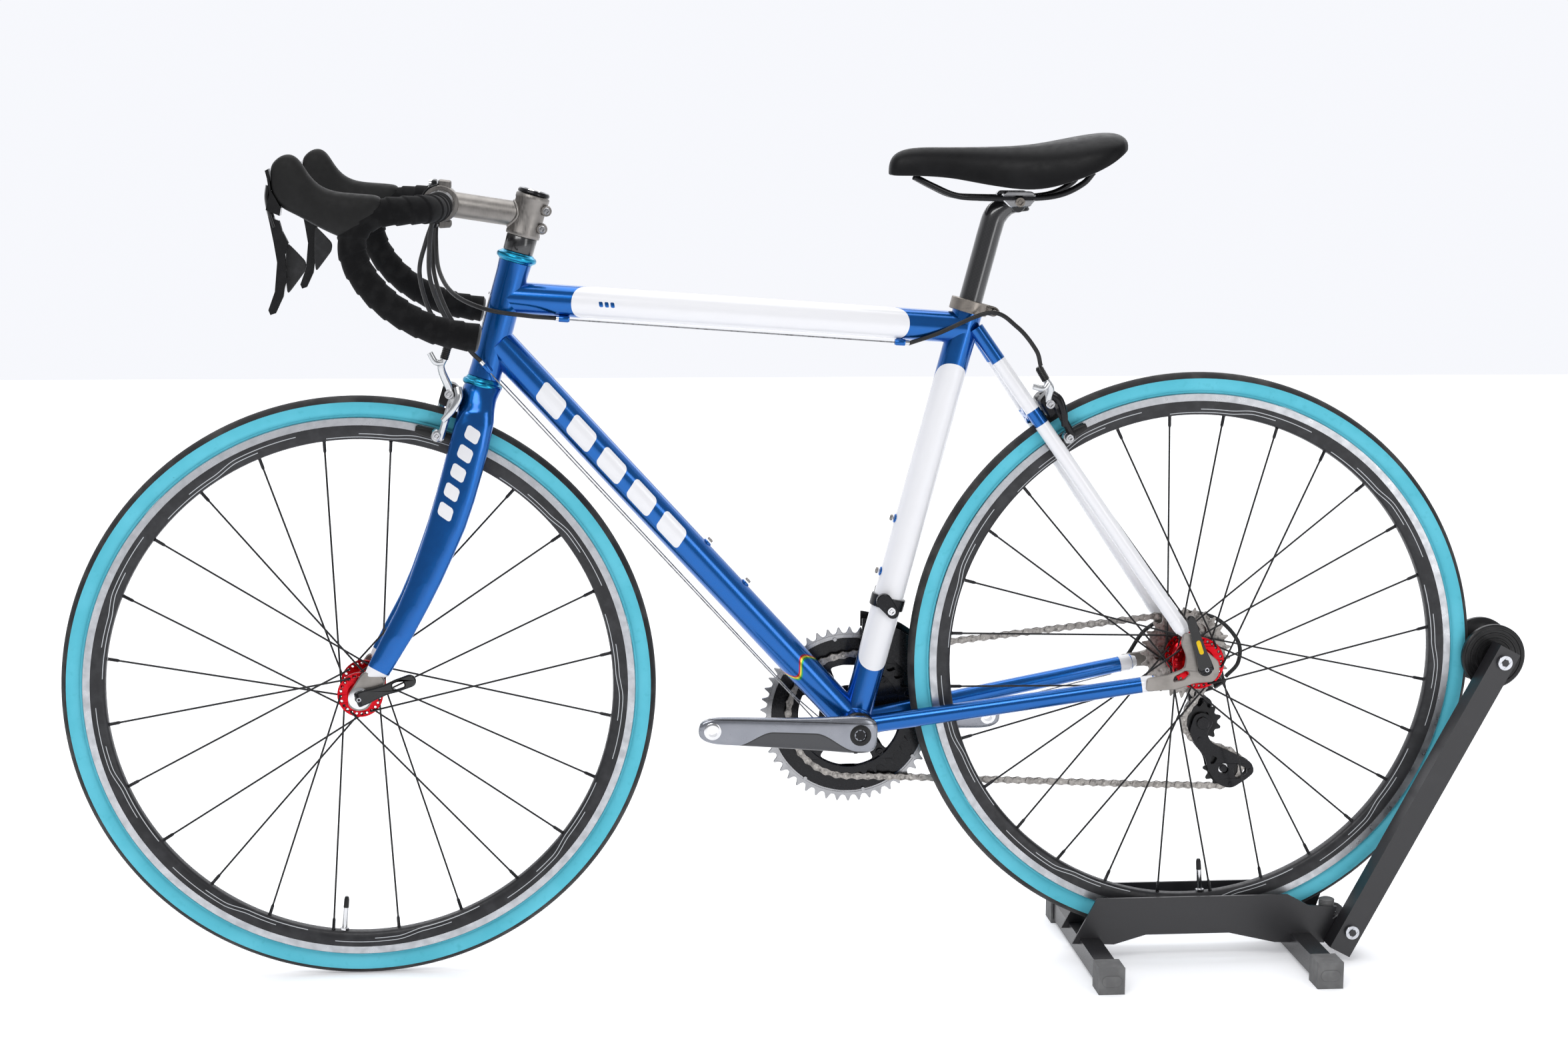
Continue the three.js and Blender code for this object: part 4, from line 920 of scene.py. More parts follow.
def headset():
    for node, low, high, way in (("headset_upper", 139.3, 150, 1), ("headset_lower", -9, 4.7, -1)):
        middle = 144.6 if way > 0 else -3.0
        cup = [(15.3, low), (18.6, low), (19.4, low + 0.8)]
        for k in range(13):
            angle = math.radians(-78 + 156 * k / 12)
            cup.append((19.2 + 3.5 * math.cos(angle), middle + 3.7 * math.sin(angle)))
        cup += [(18.6, high - 0.8), (17.8, high), (15.3, high)]
        turned(f"{node}_cup", cup, HEAD_BASE, HEAD_WAY, TEAL, "frame", 96, stands_for=(node,),
               slot="teal_anodised")
    seal = [(15.2, -9.2), (20.4, -9.2), (20.4, -10.6), (15.2, -10.6)]
    turned("crown_race", seal, HEAD_BASE, HEAD_WAY, RAW_METAL, "steering", 64)


def frame_fittings():
    """Cable stops, bottle bosses and the head plate."""
    badge = rounded([(-7.5, -24), (7.5, -24), (7.5, 24), (-7.5, 24)], 3)
    centre = on_head(72, 17.6)
    forward = Vector((-HEAD_WAY.z, 0, HEAD_WAY.x))
    plate("head_plate", [badge], -1.0, 0, BADGE, "frame", 0.3, ACROSS, HEAD_WAY, centre)
    for k, up in enumerate((46, 98)):
        hex_bolt(f"head_plate_rivet_{k}", on_head(up, 18.8), forward, 1.5, 0.9, RAW_METAL, "frame", False)
    for label, line, radius, spots in (
        ("down", DOWN_LINE, DOWN_RADIUS, ((396, 501), (439, 453))),
        ("seat", (CRANK_AXIS, SEAT_TOP), SEAT_RADIUS, ((593, 464), (607, 526))),
    ):
        along = (line[1] - line[0]).normalized()
        out = Vector((-along.z, 0, along.x)) * (1 if label == "seat" else -1)
        out = out if label == "seat" else Vector((abs(out.x), 0, abs(out.z)))
        for k, (x, z) in enumerate(spots):
            foot = line[0] + along * (Vector((x, 0, z)) - line[0]).dot(along)
            boss = [(2.2, -2), (5.2, -2), (5.4, 0.6), (4.4, 1.6), (2.2, 1.6)]
            turned(f"{label}_tube_boss_{k}", boss, foot + out * radius, out, CANDY, "frame", 28)
            hex_bolt(f"{label}_tube_bolt_{k}", foot + out * (radius + 3.2), out, 3.6, 2.6, RAW_METAL, "frame")
    stops = [((232, -10, 756), (1, 0, -0.07)), ((612, -10, 729), (-1, 0, 0.07)),
             ((146, -24, 702), (0.66, 0.1, -0.75)), ((146, 24, 702), (0.66, -0.1, -0.75))]
    for k, (place, way) in enumerate(stops):
        barrel = [(1.2, -6), (3.6, -6), (3.9, -5), (3.9, 4), (3.0, 6), (1.2, 6)]
        turned(f"cable_stop_{k}", barrel, place, way, CANDY, "frame", 28)
        foot = [(0, -3.4), (2.8, -3.4), (2.8, 3.4), (0, 3.4)]
        inward = Vector((0, 4 if place[1] < 0 else -4, 3 if k < 2 else 0))
        turned(f"cable_stop_foot_{k}", foot, Vector(place) + inward, way, CANDY, "frame", 20)
        ferrule = [(0.9, -11), (2.9, -11), (3.1, -6), (0.9, -6)]
        turned(f"cable_ferrule_{k}", ferrule, place, way, POLISHED, "frame", 24)


def seat_clamp():
    collar = [(17.5, -9), (21.4, -9), (21.9, -8.4), (21.9, 4.5), (21.2, 5.2), (14, 5.2), (14, 3.2),
              (17.5, 0.5)]
    turned("seat_clamp_ring", collar, SEAT_TOP, SEAT_WAY, CLAMP, "frame", 72, stands_for=("seat_clamp",),
           slot="titanium")
    for side in (-1, 1):
        back = Vector((SEAT_WAY.z, 0, -SEAT_WAY.x))
        ear = [(16, -6), (30, -6.4), (34.5, -2), (34.5, 2), (30, 5), (16, 5)]
        low, high = (-8, -1.2) if side < 0 else (1.2, 8)
        plate(f"seat_clamp_ear_{side_word(side)}", [rounded(ear, 4), circle(28.6, -0.6, 3.1, 20)], low, high,
              CLAMP, "frame", 0.8, back, SEAT_WAY, SEAT_TOP)
    bolt = on_seat(-0.6, 28.6)
    tube("seat_clamp_bolt", straight(bolt - ACROSS * 8.6, bolt + ACROSS * 8.6, 4), 2.6, RAW_METAL, "frame",
         20)


# ---------- fork ----------
BLADE = [  # height, front edge, back edge, middle across, half thickness
    (684, 124, 163, 3, 17), (676, 119, 159, 6, 19), (664, 115, 156, 13, 18), (654, 112, 154, 22, 14),
    (640, 108, 153, 27, 12), (612, 101, 147, 30.5, 11), (582, 93, 139, 33.5, 10.6),
    (553, 85, 130.5, 36.5, 10.3), (523, 76, 120, 39.5, 10), (494, 66, 107, 42.5, 9.4),
    (464, 55, 93, 45.5, 8.6), (434, 42, 77.5, 48.3, 7.6), (404, 26, 61, 51, 6.2), (375, 11, 43, 52.6, 4.6),
    (358, 3, 33, 53, 3.6),
]


def baked(obj):
    """Replaces a piece's mesh by its modified one, and drops the modifiers."""
    bpy.context.view_layer.update()
    result = bpy.data.meshes.new_from_object(obj.evaluated_get(bpy.context.evaluated_depsgraph_get()))
    obj.modifiers.clear()
    obj.data = result
    result.shade_smooth()
    return obj


def fork():
    places, faces = [], []
    corners = 24
    for side in (-1, 1):
        base = len(places)
        for height, front, back, middle, thick in BLADE:
            for k in range(corners):
                angle = 2 * math.pi * k / corners
                c, s = math.cos(angle), math.sin(angle)
                x = (front + back) / 2 + (back - front) / 2 * math.copysign(abs(c) ** 0.85, c)
                y = side * middle + thick * math.copysign(abs(s) ** 0.9, s)
                lean = 0.30 * ((front + back) / 2 - x) if height > 670 else 0.0
                places.append((x, y, height + lean))
        for i in range(len(BLADE) - 1):
            for k in range(corners):
                after = (k + 1) % corners
                faces.append((base + i * corners + k, base + (i + 1) * corners + k,
                              base + (i + 1) * corners + after, base + i * corners + after))
        faces.append(tuple(base + k for k in range(corners)))
        faces.append(tuple(base + (len(BLADE) - 1) * corners + k for k in range(corners - 1, -1, -1)))
    body = piece("fork_blades", places, faces, fork_paint(), None)
    rounder = body.modifiers.new("Union", "REMESH")
    rounder.mode = "VOXEL"
    rounder.voxel_size = 1.5 * MM
    soft = body.modifiers.new("Soften", "SMOOTH")
    soft.factor, soft.iterations = 0.6, 14
    baked(body)
    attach(body, "steering")
    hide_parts("fork")
    collar = [(14.5, -10.7), (20.2, -10.7), (20.6, -12), (20.2, -16), (14.5, -16)]
    turned("fork_collar", collar, HEAD_BASE, HEAD_WAY, CANDY, "steering", 64)
    for side in (-1, 1):
        low, high = (50.5, 55.8) if side > 0 else (-55.8, -50.5)
        axle = (FRONT_AXLE.x, FRONT_AXLE.z)
        hood = rounded([(-13, 338), (-12, 325), (-3, 320), (9, 322), (14, 331), (30, 352), (25, 362),
                        (5, 366)], 7)
        plate(f"fork_tip_{side_word(side)}", [hood, circle(*axle, 4.8, 24)], low, high, RAW_METAL, "steering",
              1.3)
        face = [(5, 0), (12, 0), (12.3, 0.5), (11, 0.9), (5, 0.9)]
        turned(f"fork_tip_face_{side_word(side)}", face, (axle[0], side * 55.7, axle[1]), (0, side, 0),
               POLISHED, "steering", 48)


def fork_paint():
    """Blue with a row of white bars down each blade and a white ring above the metal tips."""
    look, blue = candy_paint("fork_paint")
    split = look.add("ShaderNodeSeparateXYZ", Vector=look.here)
    start, way = spot((122, 0, 612)), Vector((-0.36, 0, -0.933)).normalized()
    x = look.sum("SUBTRACT", split.outputs[0], start.x)
    z = look.sum("SUBTRACT", split.outputs[2], start.z)
    along = look.sum("ADD", look.sum("MULTIPLY", x, way.x * 1000), look.sum("MULTIPLY", z, way.z * 1000))
    beside = look.sum("SUBTRACT", look.sum("MULTIPLY", x, way.z * 1000),
                      look.sum("MULTIPLY", z, way.x * 1000))
    bend = look.sum("MULTIPLY", look.sum("MULTIPLY", along, along), -0.00042)
    bars = look.rounded_bars(along, look.sum("SUBTRACT", beside, bend), -30.0, 22.6, 5.0, 7.6, 8.5, 0.25)
    outer = look.ramp(look.sum("ABSOLUTE", split.outputs[1]), 0.028, 0.032)
    low_way, tip = Vector((-0.48, 0, -0.877)), spot((19, 0, 364))
    lower = look.sum("ADD", look.sum("MULTIPLY", look.sum("SUBTRACT", split.outputs[0], tip.x),
                                     low_way.x * 1000),
                     look.sum("MULTIPLY", look.sum("SUBTRACT", split.outputs[2], tip.z), low_way.z * 1000))
    ring = look.ramp(lower, -3.2, -2.8)
    white = look.sum("MAXIMUM", look.sum("MULTIPLY", bars, outer), ring)
    return painted(look, blue, white)


# ---------- wheels ----------
RIM_OUTER, RIM_TRACK, RIM_INNER = 311, 302.4, 286
RIM_HALF, RIM_INNER_HALF = 10.2, 6.2
TREAD_EDGE = math.radians(63)  # how far round the tyre the black tread reaches


def tyre(name, axle, body):
    middle, wide = TYRE_RADIUS - 12.2, 12.2
    profile, groups = [], []
    steps = 64
    for k in range(steps + 1):
        angle = math.radians(-142 + 284 * k / steps)
        grown = 0.35 if abs(angle) < TREAD_EDGE else 0.0
        profile.append((middle + (wide - 0.35 + grown) * math.cos(angle),
                        (wide - 0.1 + grown) * math.sin(angle)))
        groups.append(0 if abs(math.radians(-142 + 284 * (k + 0.5) / steps)) < TREAD_EDGE else 1)
    profile += [(311.2, 7.4), (311.2, -7.4)]
    groups += [1, 1]
    turned(name, profile, axle, ACROSS, [TREAD, WALL], body, 180, groups,
           stands_for=(name.replace("_rubber", ""),), slot="tyre_rubber")


def rim(end, axle, body):
    h, n = RIM_HALF, RIM_INNER_HALF
    profile = [(RIM_OUTER, -h + 0.6), (RIM_OUTER - 0.6, -h), (RIM_TRACK, -h), (RIM_TRACK - 0.5, -h + 0.5),
               (294, -9.1), (289, -7.8), (RIM_INNER + 0.6, -n), (RIM_INNER, -n + 1.6), (RIM_INNER - 0.6, 0),
               (RIM_INNER, n - 1.6), (RIM_INNER + 0.6, n), (289, 7.8), (294, 9.1), (RIM_TRACK - 0.5, h - 0.5),
               (RIM_TRACK, h), (RIM_OUTER - 0.6, h), (RIM_OUTER, h - 0.6), (RIM_OUTER - 3, h - 2), (305, 6.5),
               (305, -6.5), (RIM_OUTER - 3, -h + 2)]
    silver = {0, 1, 14, 15, 16, 20}
    groups = [0 if i in silver else 1 for i in range(len(profile))]
    turned(f"{end}_rim_skin", profile, axle, ACROSS,
           [brake_track(axle, f"{end}_brake_track"), rim_black(axle, f"{end}_rim_black")], body, 180, groups,
           stands_for=(f"{end}_rim",), slot="rim_black")


def valve(end, axle, body, angle):
    out = Vector((math.cos(angle), 0, math.sin(angle)))
    stem = [(0, 24), (2.2, 24), (3, 26), (3, 55), (0, 55)]
    turned(f"{end}_valve_stem", [(r, -a) for r, a in stem], axle + out * (RIM_INNER + 26), out, POLISHED,
           body, 24)
    cap = [(0, -12), (2.0, -12), (2.9, -9), (3.1, 1), (0, 1)]
    turned(f"{end}_valve_cap", cap, axle + out * (RIM_INNER - 28), out, BLACK_PLASTIC, body, 24)
    nut = [(2.8, 0), (5.2, 0), (5.2, -2.2), (2.8, -2.2)]
    turned(f"{end}_valve_nut", nut, axle + out * (RIM_INNER - 0.6), out, POLISHED, body, 6)


def spokes(end, axle, body, count, flanges):
    """Crossed spokes, each with its elbow in the flange and its nipple at the rim."""
    per_side = count // 2
    for which, (y, radius) in enumerate(flanges):
        for i in range(per_side):
            at_rim = 2 * math.pi * (i + 0.5 * which + 0.25) / per_side
            sense = 1 if i % 2 else -1
            at_flange = at_rim + sense * 1.15
            face = 3.4 * sense
            inner = axle + Vector((radius * math.cos(at_flange), y + face, radius * math.sin(at_flange)))
            reach = RIM_INNER - 0.6
            outer = axle + Vector((reach * math.cos(at_rim), 2.2 * sense, reach * math.sin(at_rim)))
            way = (outer - inner).normalized()
            name = f"{end}_spoke_{which}_{i}"
            tube(name, [inner - ACROSS * sense * 5.4, inner - ACROSS * sense * 1.2, inner + way * 2,
                        inner + way * 12, outer - way * 8], 1.1, SPOKE, body, 10)
            nipple = [(0, -13), (1.3, -13), (1.9, -11), (1.9, -1), (2.4, 0), (0, 0)]
            turned(f"{name}_nipple", nipple, outer, way, BLACK_METAL, body, 12)


def flange(name, axle, body, y, radius, count, phase, bore=9):
    holes = [circle(axle.x + (radius - 2) * math.cos(2 * math.pi * (k + phase) / count),
                    axle.z + (radius - 2) * math.sin(2 * math.pi * (k + phase) / count), 1.5, 10)
             for k in range(count)]
    outer = circle(axle.x, axle.z, radius + 1.6, 72)
    plate(name, [outer, circle(axle.x, axle.z, bore, 40), *holes], y - 1.7, y + 1.7, HUB_RED, body, 0.5)


def hubs():
    front = [(0, -49.7), (5, -49.7), (5.4, -49.2), (9.2, -49.2), (9.2, -43), (13.5, -41), (14.5, -38),
             (15, -33), (11, -29), (9.6, -22), (9.2, 0), (9.6, 22), (11, 29), (15, 33), (14.5, 38),
             (13.5, 41), (9.2, 43), (9.2, 49.2), (5.4, 49.2), (5, 49.7), (0, 49.7)]
    turned("front_hub_shell", front, FRONT_AXLE, ACROSS, HUB_RED, "front_wheel", 72,
           stands_for=("front_hub",), slot="hub_red")
    rear = [(0, -64.8), (5.4, -64.8), (5.4, -60), (10, -60), (10, -46), (17, -44), (19, -41), (19, -33),
            (14, -28), (13, -20), (13, 0), (15, 8), (19, 11), (19, 18.4), (8, 18.8), (8, 19.6), (0, 19.6)]
    turned("rear_hub_shell", rear, REAR_AXLE, ACROSS, HUB_RED, "rear_wheel", 72, stands_for=("rear_hub",),
           slot="hub_red")
    turned("rear_axle", [(0, 19.6), (8, 19.6), (8, 61), (5.4, 61.5), (5.4, 64.8), (0, 64.8)], REAR_AXLE,
           ACROSS, POLISHED, "rear_wheel", 40)
    for side in (-1, 1):
        flange(f"front_flange_{side_word(side)}", FRONT_AXLE, "front_wheel", side * 35, 24, 24, 0.25)
        cap = [(5, 0), (8.6, 0), (8.9, -0.6), (8.9, -5), (5, -5)]
        place = FRONT_AXLE + ACROSS * side * 49.9
        turned(f"front_axle_cap_{side_word(side)}", cap, place, (0, side, 0), POLISHED, "front_wheel", 48)
    flange("rear_flange_left", REAR_AXLE, "rear_wheel", -37.5, 29, 28, 0.25)
    flange("rear_flange_right", REAR_AXLE, "rear_wheel", 15.2, 25, 28, 0.25)


def quick_releases():
    """Each lever hangs on its own pivot; its cam seat and nut stay with the dropouts."""
    for end, axle, tip, y, body in (("front", FRONT_AXLE, (58, 356), 56.5, "steering"),
                                    ("rear", REAR_AXLE, (942, 416), 71.5, "frame")):
        node = f"{end}_quick_release"
        root = Vector((axle.x, axle.z))
        along = (Vector(tip) - root).normalized()
        beside = Vector((-along.y, along.x))
        wide = 7.2 if end == "front" else 5.2
        flank = ((-3.4, 7.0), (2, 8.4), (9, 8.0), (20, 6.6), (32, 5.9), (44, wide))
        outline = [root + along * distance + beside * half for distance, half in flank]
        end_centre = root + along * ((Vector(tip) - root).length - 1)
        for k in range(9):
            angle = math.pi * (0.5 - k / 8)
            outline.append(end_centre + along * (6.6 * math.cos(angle)) + beside * (wide * math.sin(angle)))
        outline += [root + along * distance - beside * half for distance, half in flank[::-1]]
        loops = [rounded([tuple(p) for p in outline], 2, 3)]
        if end == "front":
            window = [(40, 3.6), (53, 4.0), (53, -4.0), (40, -3.6)]
            loops.append(rounded([tuple(root + along * a + beside * b) for a, b in window], 3))
        plate(f"{end}_release_lever", loops, -y - 7.2, -y - 2.2, GLOSS_BLACK, node, 1.6,
                      stands_for=(node,), slot="lever_metal")
        across = Vector((beside.x, 0, beside.y))
        middle = Vector((axle.x, -y - 4.5, axle.z))
        barrel = [(0, -8.2), (2.6, -8.2), (3.2, -7.4), (3.2, 7.4), (2.6, 8.2), (0, 8.2)]
        turned(f"{end}_release_barrel", barrel, middle, across, BLACK_METAL, node, 36)
        hex_bolt(f"{end}_release_bolt", (axle.x, -y - 7.1, axle.z), (0, -1, 0), 2.6, 0.7, ZINC, node)
        if end == "rear":
            badge = link(tuple(root + along * 22), 2.6, tuple(root + along * 34), 2.6)
            plate("rear_release_inlay", [badge], -y - 7.6, -y - 7.0, YELLOW, node, 0.15)
        seat = [(0, 0.2), (8.4, 0.2), (9, -0.4), (9, -0.5), (6, -0.5), (0, -0.5)]
        turned(f"{end}_release_seat", seat, (axle.x, -y + 0.4, axle.z), (0, -1, 0), BLACK_METAL, body, 40)
        far = 56.0 if end == "front" else 71.2
        nut = [(0, 0), (8.6, 0), (9, 1), (7.4, 8), (6, 9.5), (3, 10), (3, 12), (0, 12)]
        turned(f"{end}_release_nut", nut, (axle.x, far, axle.z), ACROSS, BLACK_METAL, body, 28)


# ---------- drivetrain ----------
def toothed(centre, teeth, pitch_radius, tip=3.9, root=-3.3, lean=0.0):
    """Outline of a chain wheel's teeth: round seats for the rollers between pointed teeth."""
    loop = []
    for k in range(teeth):
        for share, rise in ((0.0, root), (0.14, root * 0.93), (0.27, -1.2), (0.38, tip * 0.55), (0.45, tip),
                            (0.55, tip), (0.62, tip * 0.55), (0.73, -1.2), (0.86, root * 0.93)):
            angle = 2 * math.pi * (k + share + lean) / teeth
            r = pitch_radius + rise
            loop.append((centre.x + r * math.cos(angle), centre.z + r * math.sin(angle)))
    return loop


def pitch_radius(teeth):
    return 12.7 / (2 * math.sin(math.pi / teeth))


BELT_STEP = 12.7


def belt_line():
    """The chain's pitch line round its four wheels, as closely spaced points."""
    wheels = [(CRANK_AXIS, SMALL_RING, 1), (REAR_AXLE, REAR_COG, 1), (UPPER_PULLEY, PULLEY, -1),
              (LOWER_PULLEY, PULLEY, 1)]
    spans = []
    for i, (a, ra, ta) in enumerate(wheels):
        b, rb, tb = wheels[(i + 1) % 4]
        dx, dz = b.x - a.x, b.z - a.z
        normal = math.atan2(dz, dx) + math.acos((ta * ra - tb * rb) / math.hypot(dx, dz))
        spans.append((normal + (0 if ta > 0 else math.pi), normal + (0 if tb > 0 else math.pi)))
    line = []
    for i, (centre, radius, turn) in enumerate(wheels):
        start = spans[i - 1][1]
        sweep = ((spans[i][0] - start) * -turn) % (2 * math.pi)
        count = max(3, int(sweep / 0.03))
        for k in range(count + 1):
            angle = start - turn * sweep * k / count
            line.append(Vector((centre.x + radius * math.cos(angle), 0, centre.z + radius * math.sin(angle))))
    return line


def even_steps(line, step):
    """Points at equal steps round a closed line, with the step nudged so that it comes out whole."""
    loop = [*line, line[0]]
    lengths = [0.0]
    for a, b in zip(loop, loop[1:]):
        lengths.append(lengths[-1] + (b - a).length)
    count = 2 * round(lengths[-1] / step / 2)
    found, i = [], 0
    for k in range(count):
        target = lengths[-1] * k / count
        while lengths[i + 1] < target:
            i += 1
        found.append(loop[i].lerp(loop[i + 1], (target - lengths[i]) / (lengths[i + 1] - lengths[i])))
    return found


SMALL_RING, REAR_COG, PULLEY = pitch_radius(36), pitch_radius(23), pitch_radius(11)
CHAIN_FRONT_Y, CHAIN_REAR_Y = 41.0, 30.0


def chain_y(x):
    start, end = CRANK_AXIS.x + SMALL_RING, REAR_AXLE.x - REAR_COG
    return CHAIN_FRONT_Y + min(1, max(0, (x - start) / (end - start))) * (CHAIN_REAR_Y - CHAIN_FRONT_Y)


def chain():
    """Every link of the chain: waisted inner and outer plates, rollers and pin ends, as two meshes."""
    pins = even_steps(belt_line(), BELT_STEP)
    plates, rollers = ([], []), ([], [])
    for k, here in enumerate(pins):
        there = pins[(k + 1) % len(pins)]
        outer = k % 2 == 0
        way = (there - here).normalized()
        over = way.cross(ACROSS)
        length = (there - here).length
        half = 4.15 if outer else 4.0
        outline = []
        for turn in range(-6, 7):
            angle = math.pi + math.radians(turn * 18)
            outline.append((half * math.cos(angle), half * math.sin(angle)))
        outline.append((length / 2, -half * 0.66))
        for turn in range(-6, 7):
            angle = math.radians(turn * 18)
            outline.append((length + half * math.cos(angle), half * math.sin(angle)))
        outline.append((length / 2, half * 0.66))
        y = chain_y(here.x)
        for sign in (-1, 1):
            near = sign * (1.85 if outer else 1.0)
            far = sign * (2.6 if outer else 1.75)
            add_prism(plates, outline, here + ACROSS * y, way, over, near, far)
        ring = [(3.85 * math.cos(a), 3.85 * math.sin(a)) for a in (2 * math.pi * j / 16 for j in range(16))]
        add_prism(rollers, ring, here + ACROSS * y, way, over, -0.98, 0.98)
        pin = [(1.75 * math.cos(a), 1.75 * math.sin(a)) for a in (2 * math.pi * j / 12 for j in range(12))]
        add_prism(rollers, pin, here + ACROSS * y, way, over, -2.75, 2.75)
    piece("chain_plates", *plates, CHAIN_STEEL, "frame", stands_for=("chain",), slot="drive_steel")
    piece("chain_rollers", *rollers, CHAIN_PIN, "frame")


def add_prism(mesh, outline, base, right, over, near, far):
    """Adds a prism of the outline to a (places, faces) pair."""
    places, faces = mesh
    first, count = len(places), len(outline)
    low, high = sorted((near, far))
    for y in (low, high):
        places.extend(base + right * u + over * v + ACROSS * y for u, v in outline)
    faces.append(tuple(first + k for k in range(count)))
    faces.append(tuple(first + count + k for k in range(count - 1, -1, -1)))
    for k in range(count):
        after = (k + 1) % count
        faces.append((first + after, first + k, first + count + k, first + count + after))


def chain_rings():
    """Big ring: silver teeth on a deep black web. Small ring: a thin black one on the spider's inner face."""
    c = CRANK_AXIS
    big = pitch_radius(50)
    plate("big_ring_teeth", [toothed(c, 50, big), circle(c.x, c.z, big - 9.5, 90)], 46.4, 49.6, RING_SILVER,
          "crankset", 0.5, stands_for=("big_ring",), slot="ring_black")
    web = [circle(c.x, c.z, big - 8.2, 90), circle(c.x, c.z, 62, 80)]
    plate("big_ring_web", web, 46.9, 52.4, RING_BLACK, "crankset", 0.9)
    lip = [(big - 7.0, 46.2), (big - 4.6, 46.2), (big - 4.6, 45.6), (big - 7.0, 45.6)]
    turned("big_ring_lip", lip, (c.x, 0, c.z), ACROSS, RING_SILVER, "crankset", 120)
    inner = pitch_radius(36)
    plate("small_ring_teeth", [toothed(c, 36, inner), circle(c.x, c.z, 61.5, 80)], 39.6, 42.4, RING_BLACK,
          "crankset", 0.4, stands_for=("small_ring",), slot="ring_black")
    for k in range(8):
        angle = math.radians(11 + 45 * k)
        pin = Vector((c.x + 92 * math.cos(angle), 0, c.z + 92 * math.sin(angle)))
        turned(f"shift_pin_{k}", [(0, 44.4), (2.2, 44.4), (2.4, 46.6), (0, 46.6)], pin, ACROSS, RING_SILVER,
               "crankset", 16)


def ring_sector(c, middle, half, low, high):
    """Outline of a sector of a ring; the angles are in degrees."""
    loop = []
    for k in range(9):
        angle = math.radians(middle - half + 2 * half * k / 8)
        loop.append((c.x + high * math.cos(angle), c.z + high * math.sin(angle)))
    for k in range(5):
        angle = math.radians(middle + half - 2 * half * k / 4)
        loop.append((c.x + low * math.cos(angle), c.z + low * math.sin(angle)))
    return loop


def spider():
    """Four uneven openings between four arms, as on a modern road crankset."""
    c = CRANK_AXIS
    openings = ((88, 24, 36), (267, 32, 34), (334, 17, 38), (182, 27, 36))
    windows = [rounded(ring_sector(c, middle, half, low, 60.5), 4, 3) for middle, half, low in openings]
    plate("spider", [circle(c.x, c.z, 63.5, 120), *windows], 42.9, 46.3, RING_BLACK, "crankset", 0.9)
    for k, degrees in enumerate((46, 134, 222, 309)):
        angle = math.radians(degrees)
        foot = (c.x + 58 * math.cos(angle), c.z + 58 * math.sin(angle))
        boss = link((c.x + 30 * math.cos(angle), c.z + 30 * math.sin(angle)), 11, foot, 7)
        plate(f"spider_arm_{k}", [boss], 46.2, 55, CRANK_DARK, "crankset", 2.2)
        for side, y in ((1, 55), (-1, 41.4)):
            hex_bolt(f"ring_bolt_{k}_{side_word(side)}", (foot[0], y, foot[1]), (0, side, 0), 4.4, 1.4,
                     BLACK_METAL, "crankset")


CRANK_LENGTH = 170
CRANK_TILT = math.radians(3.2)


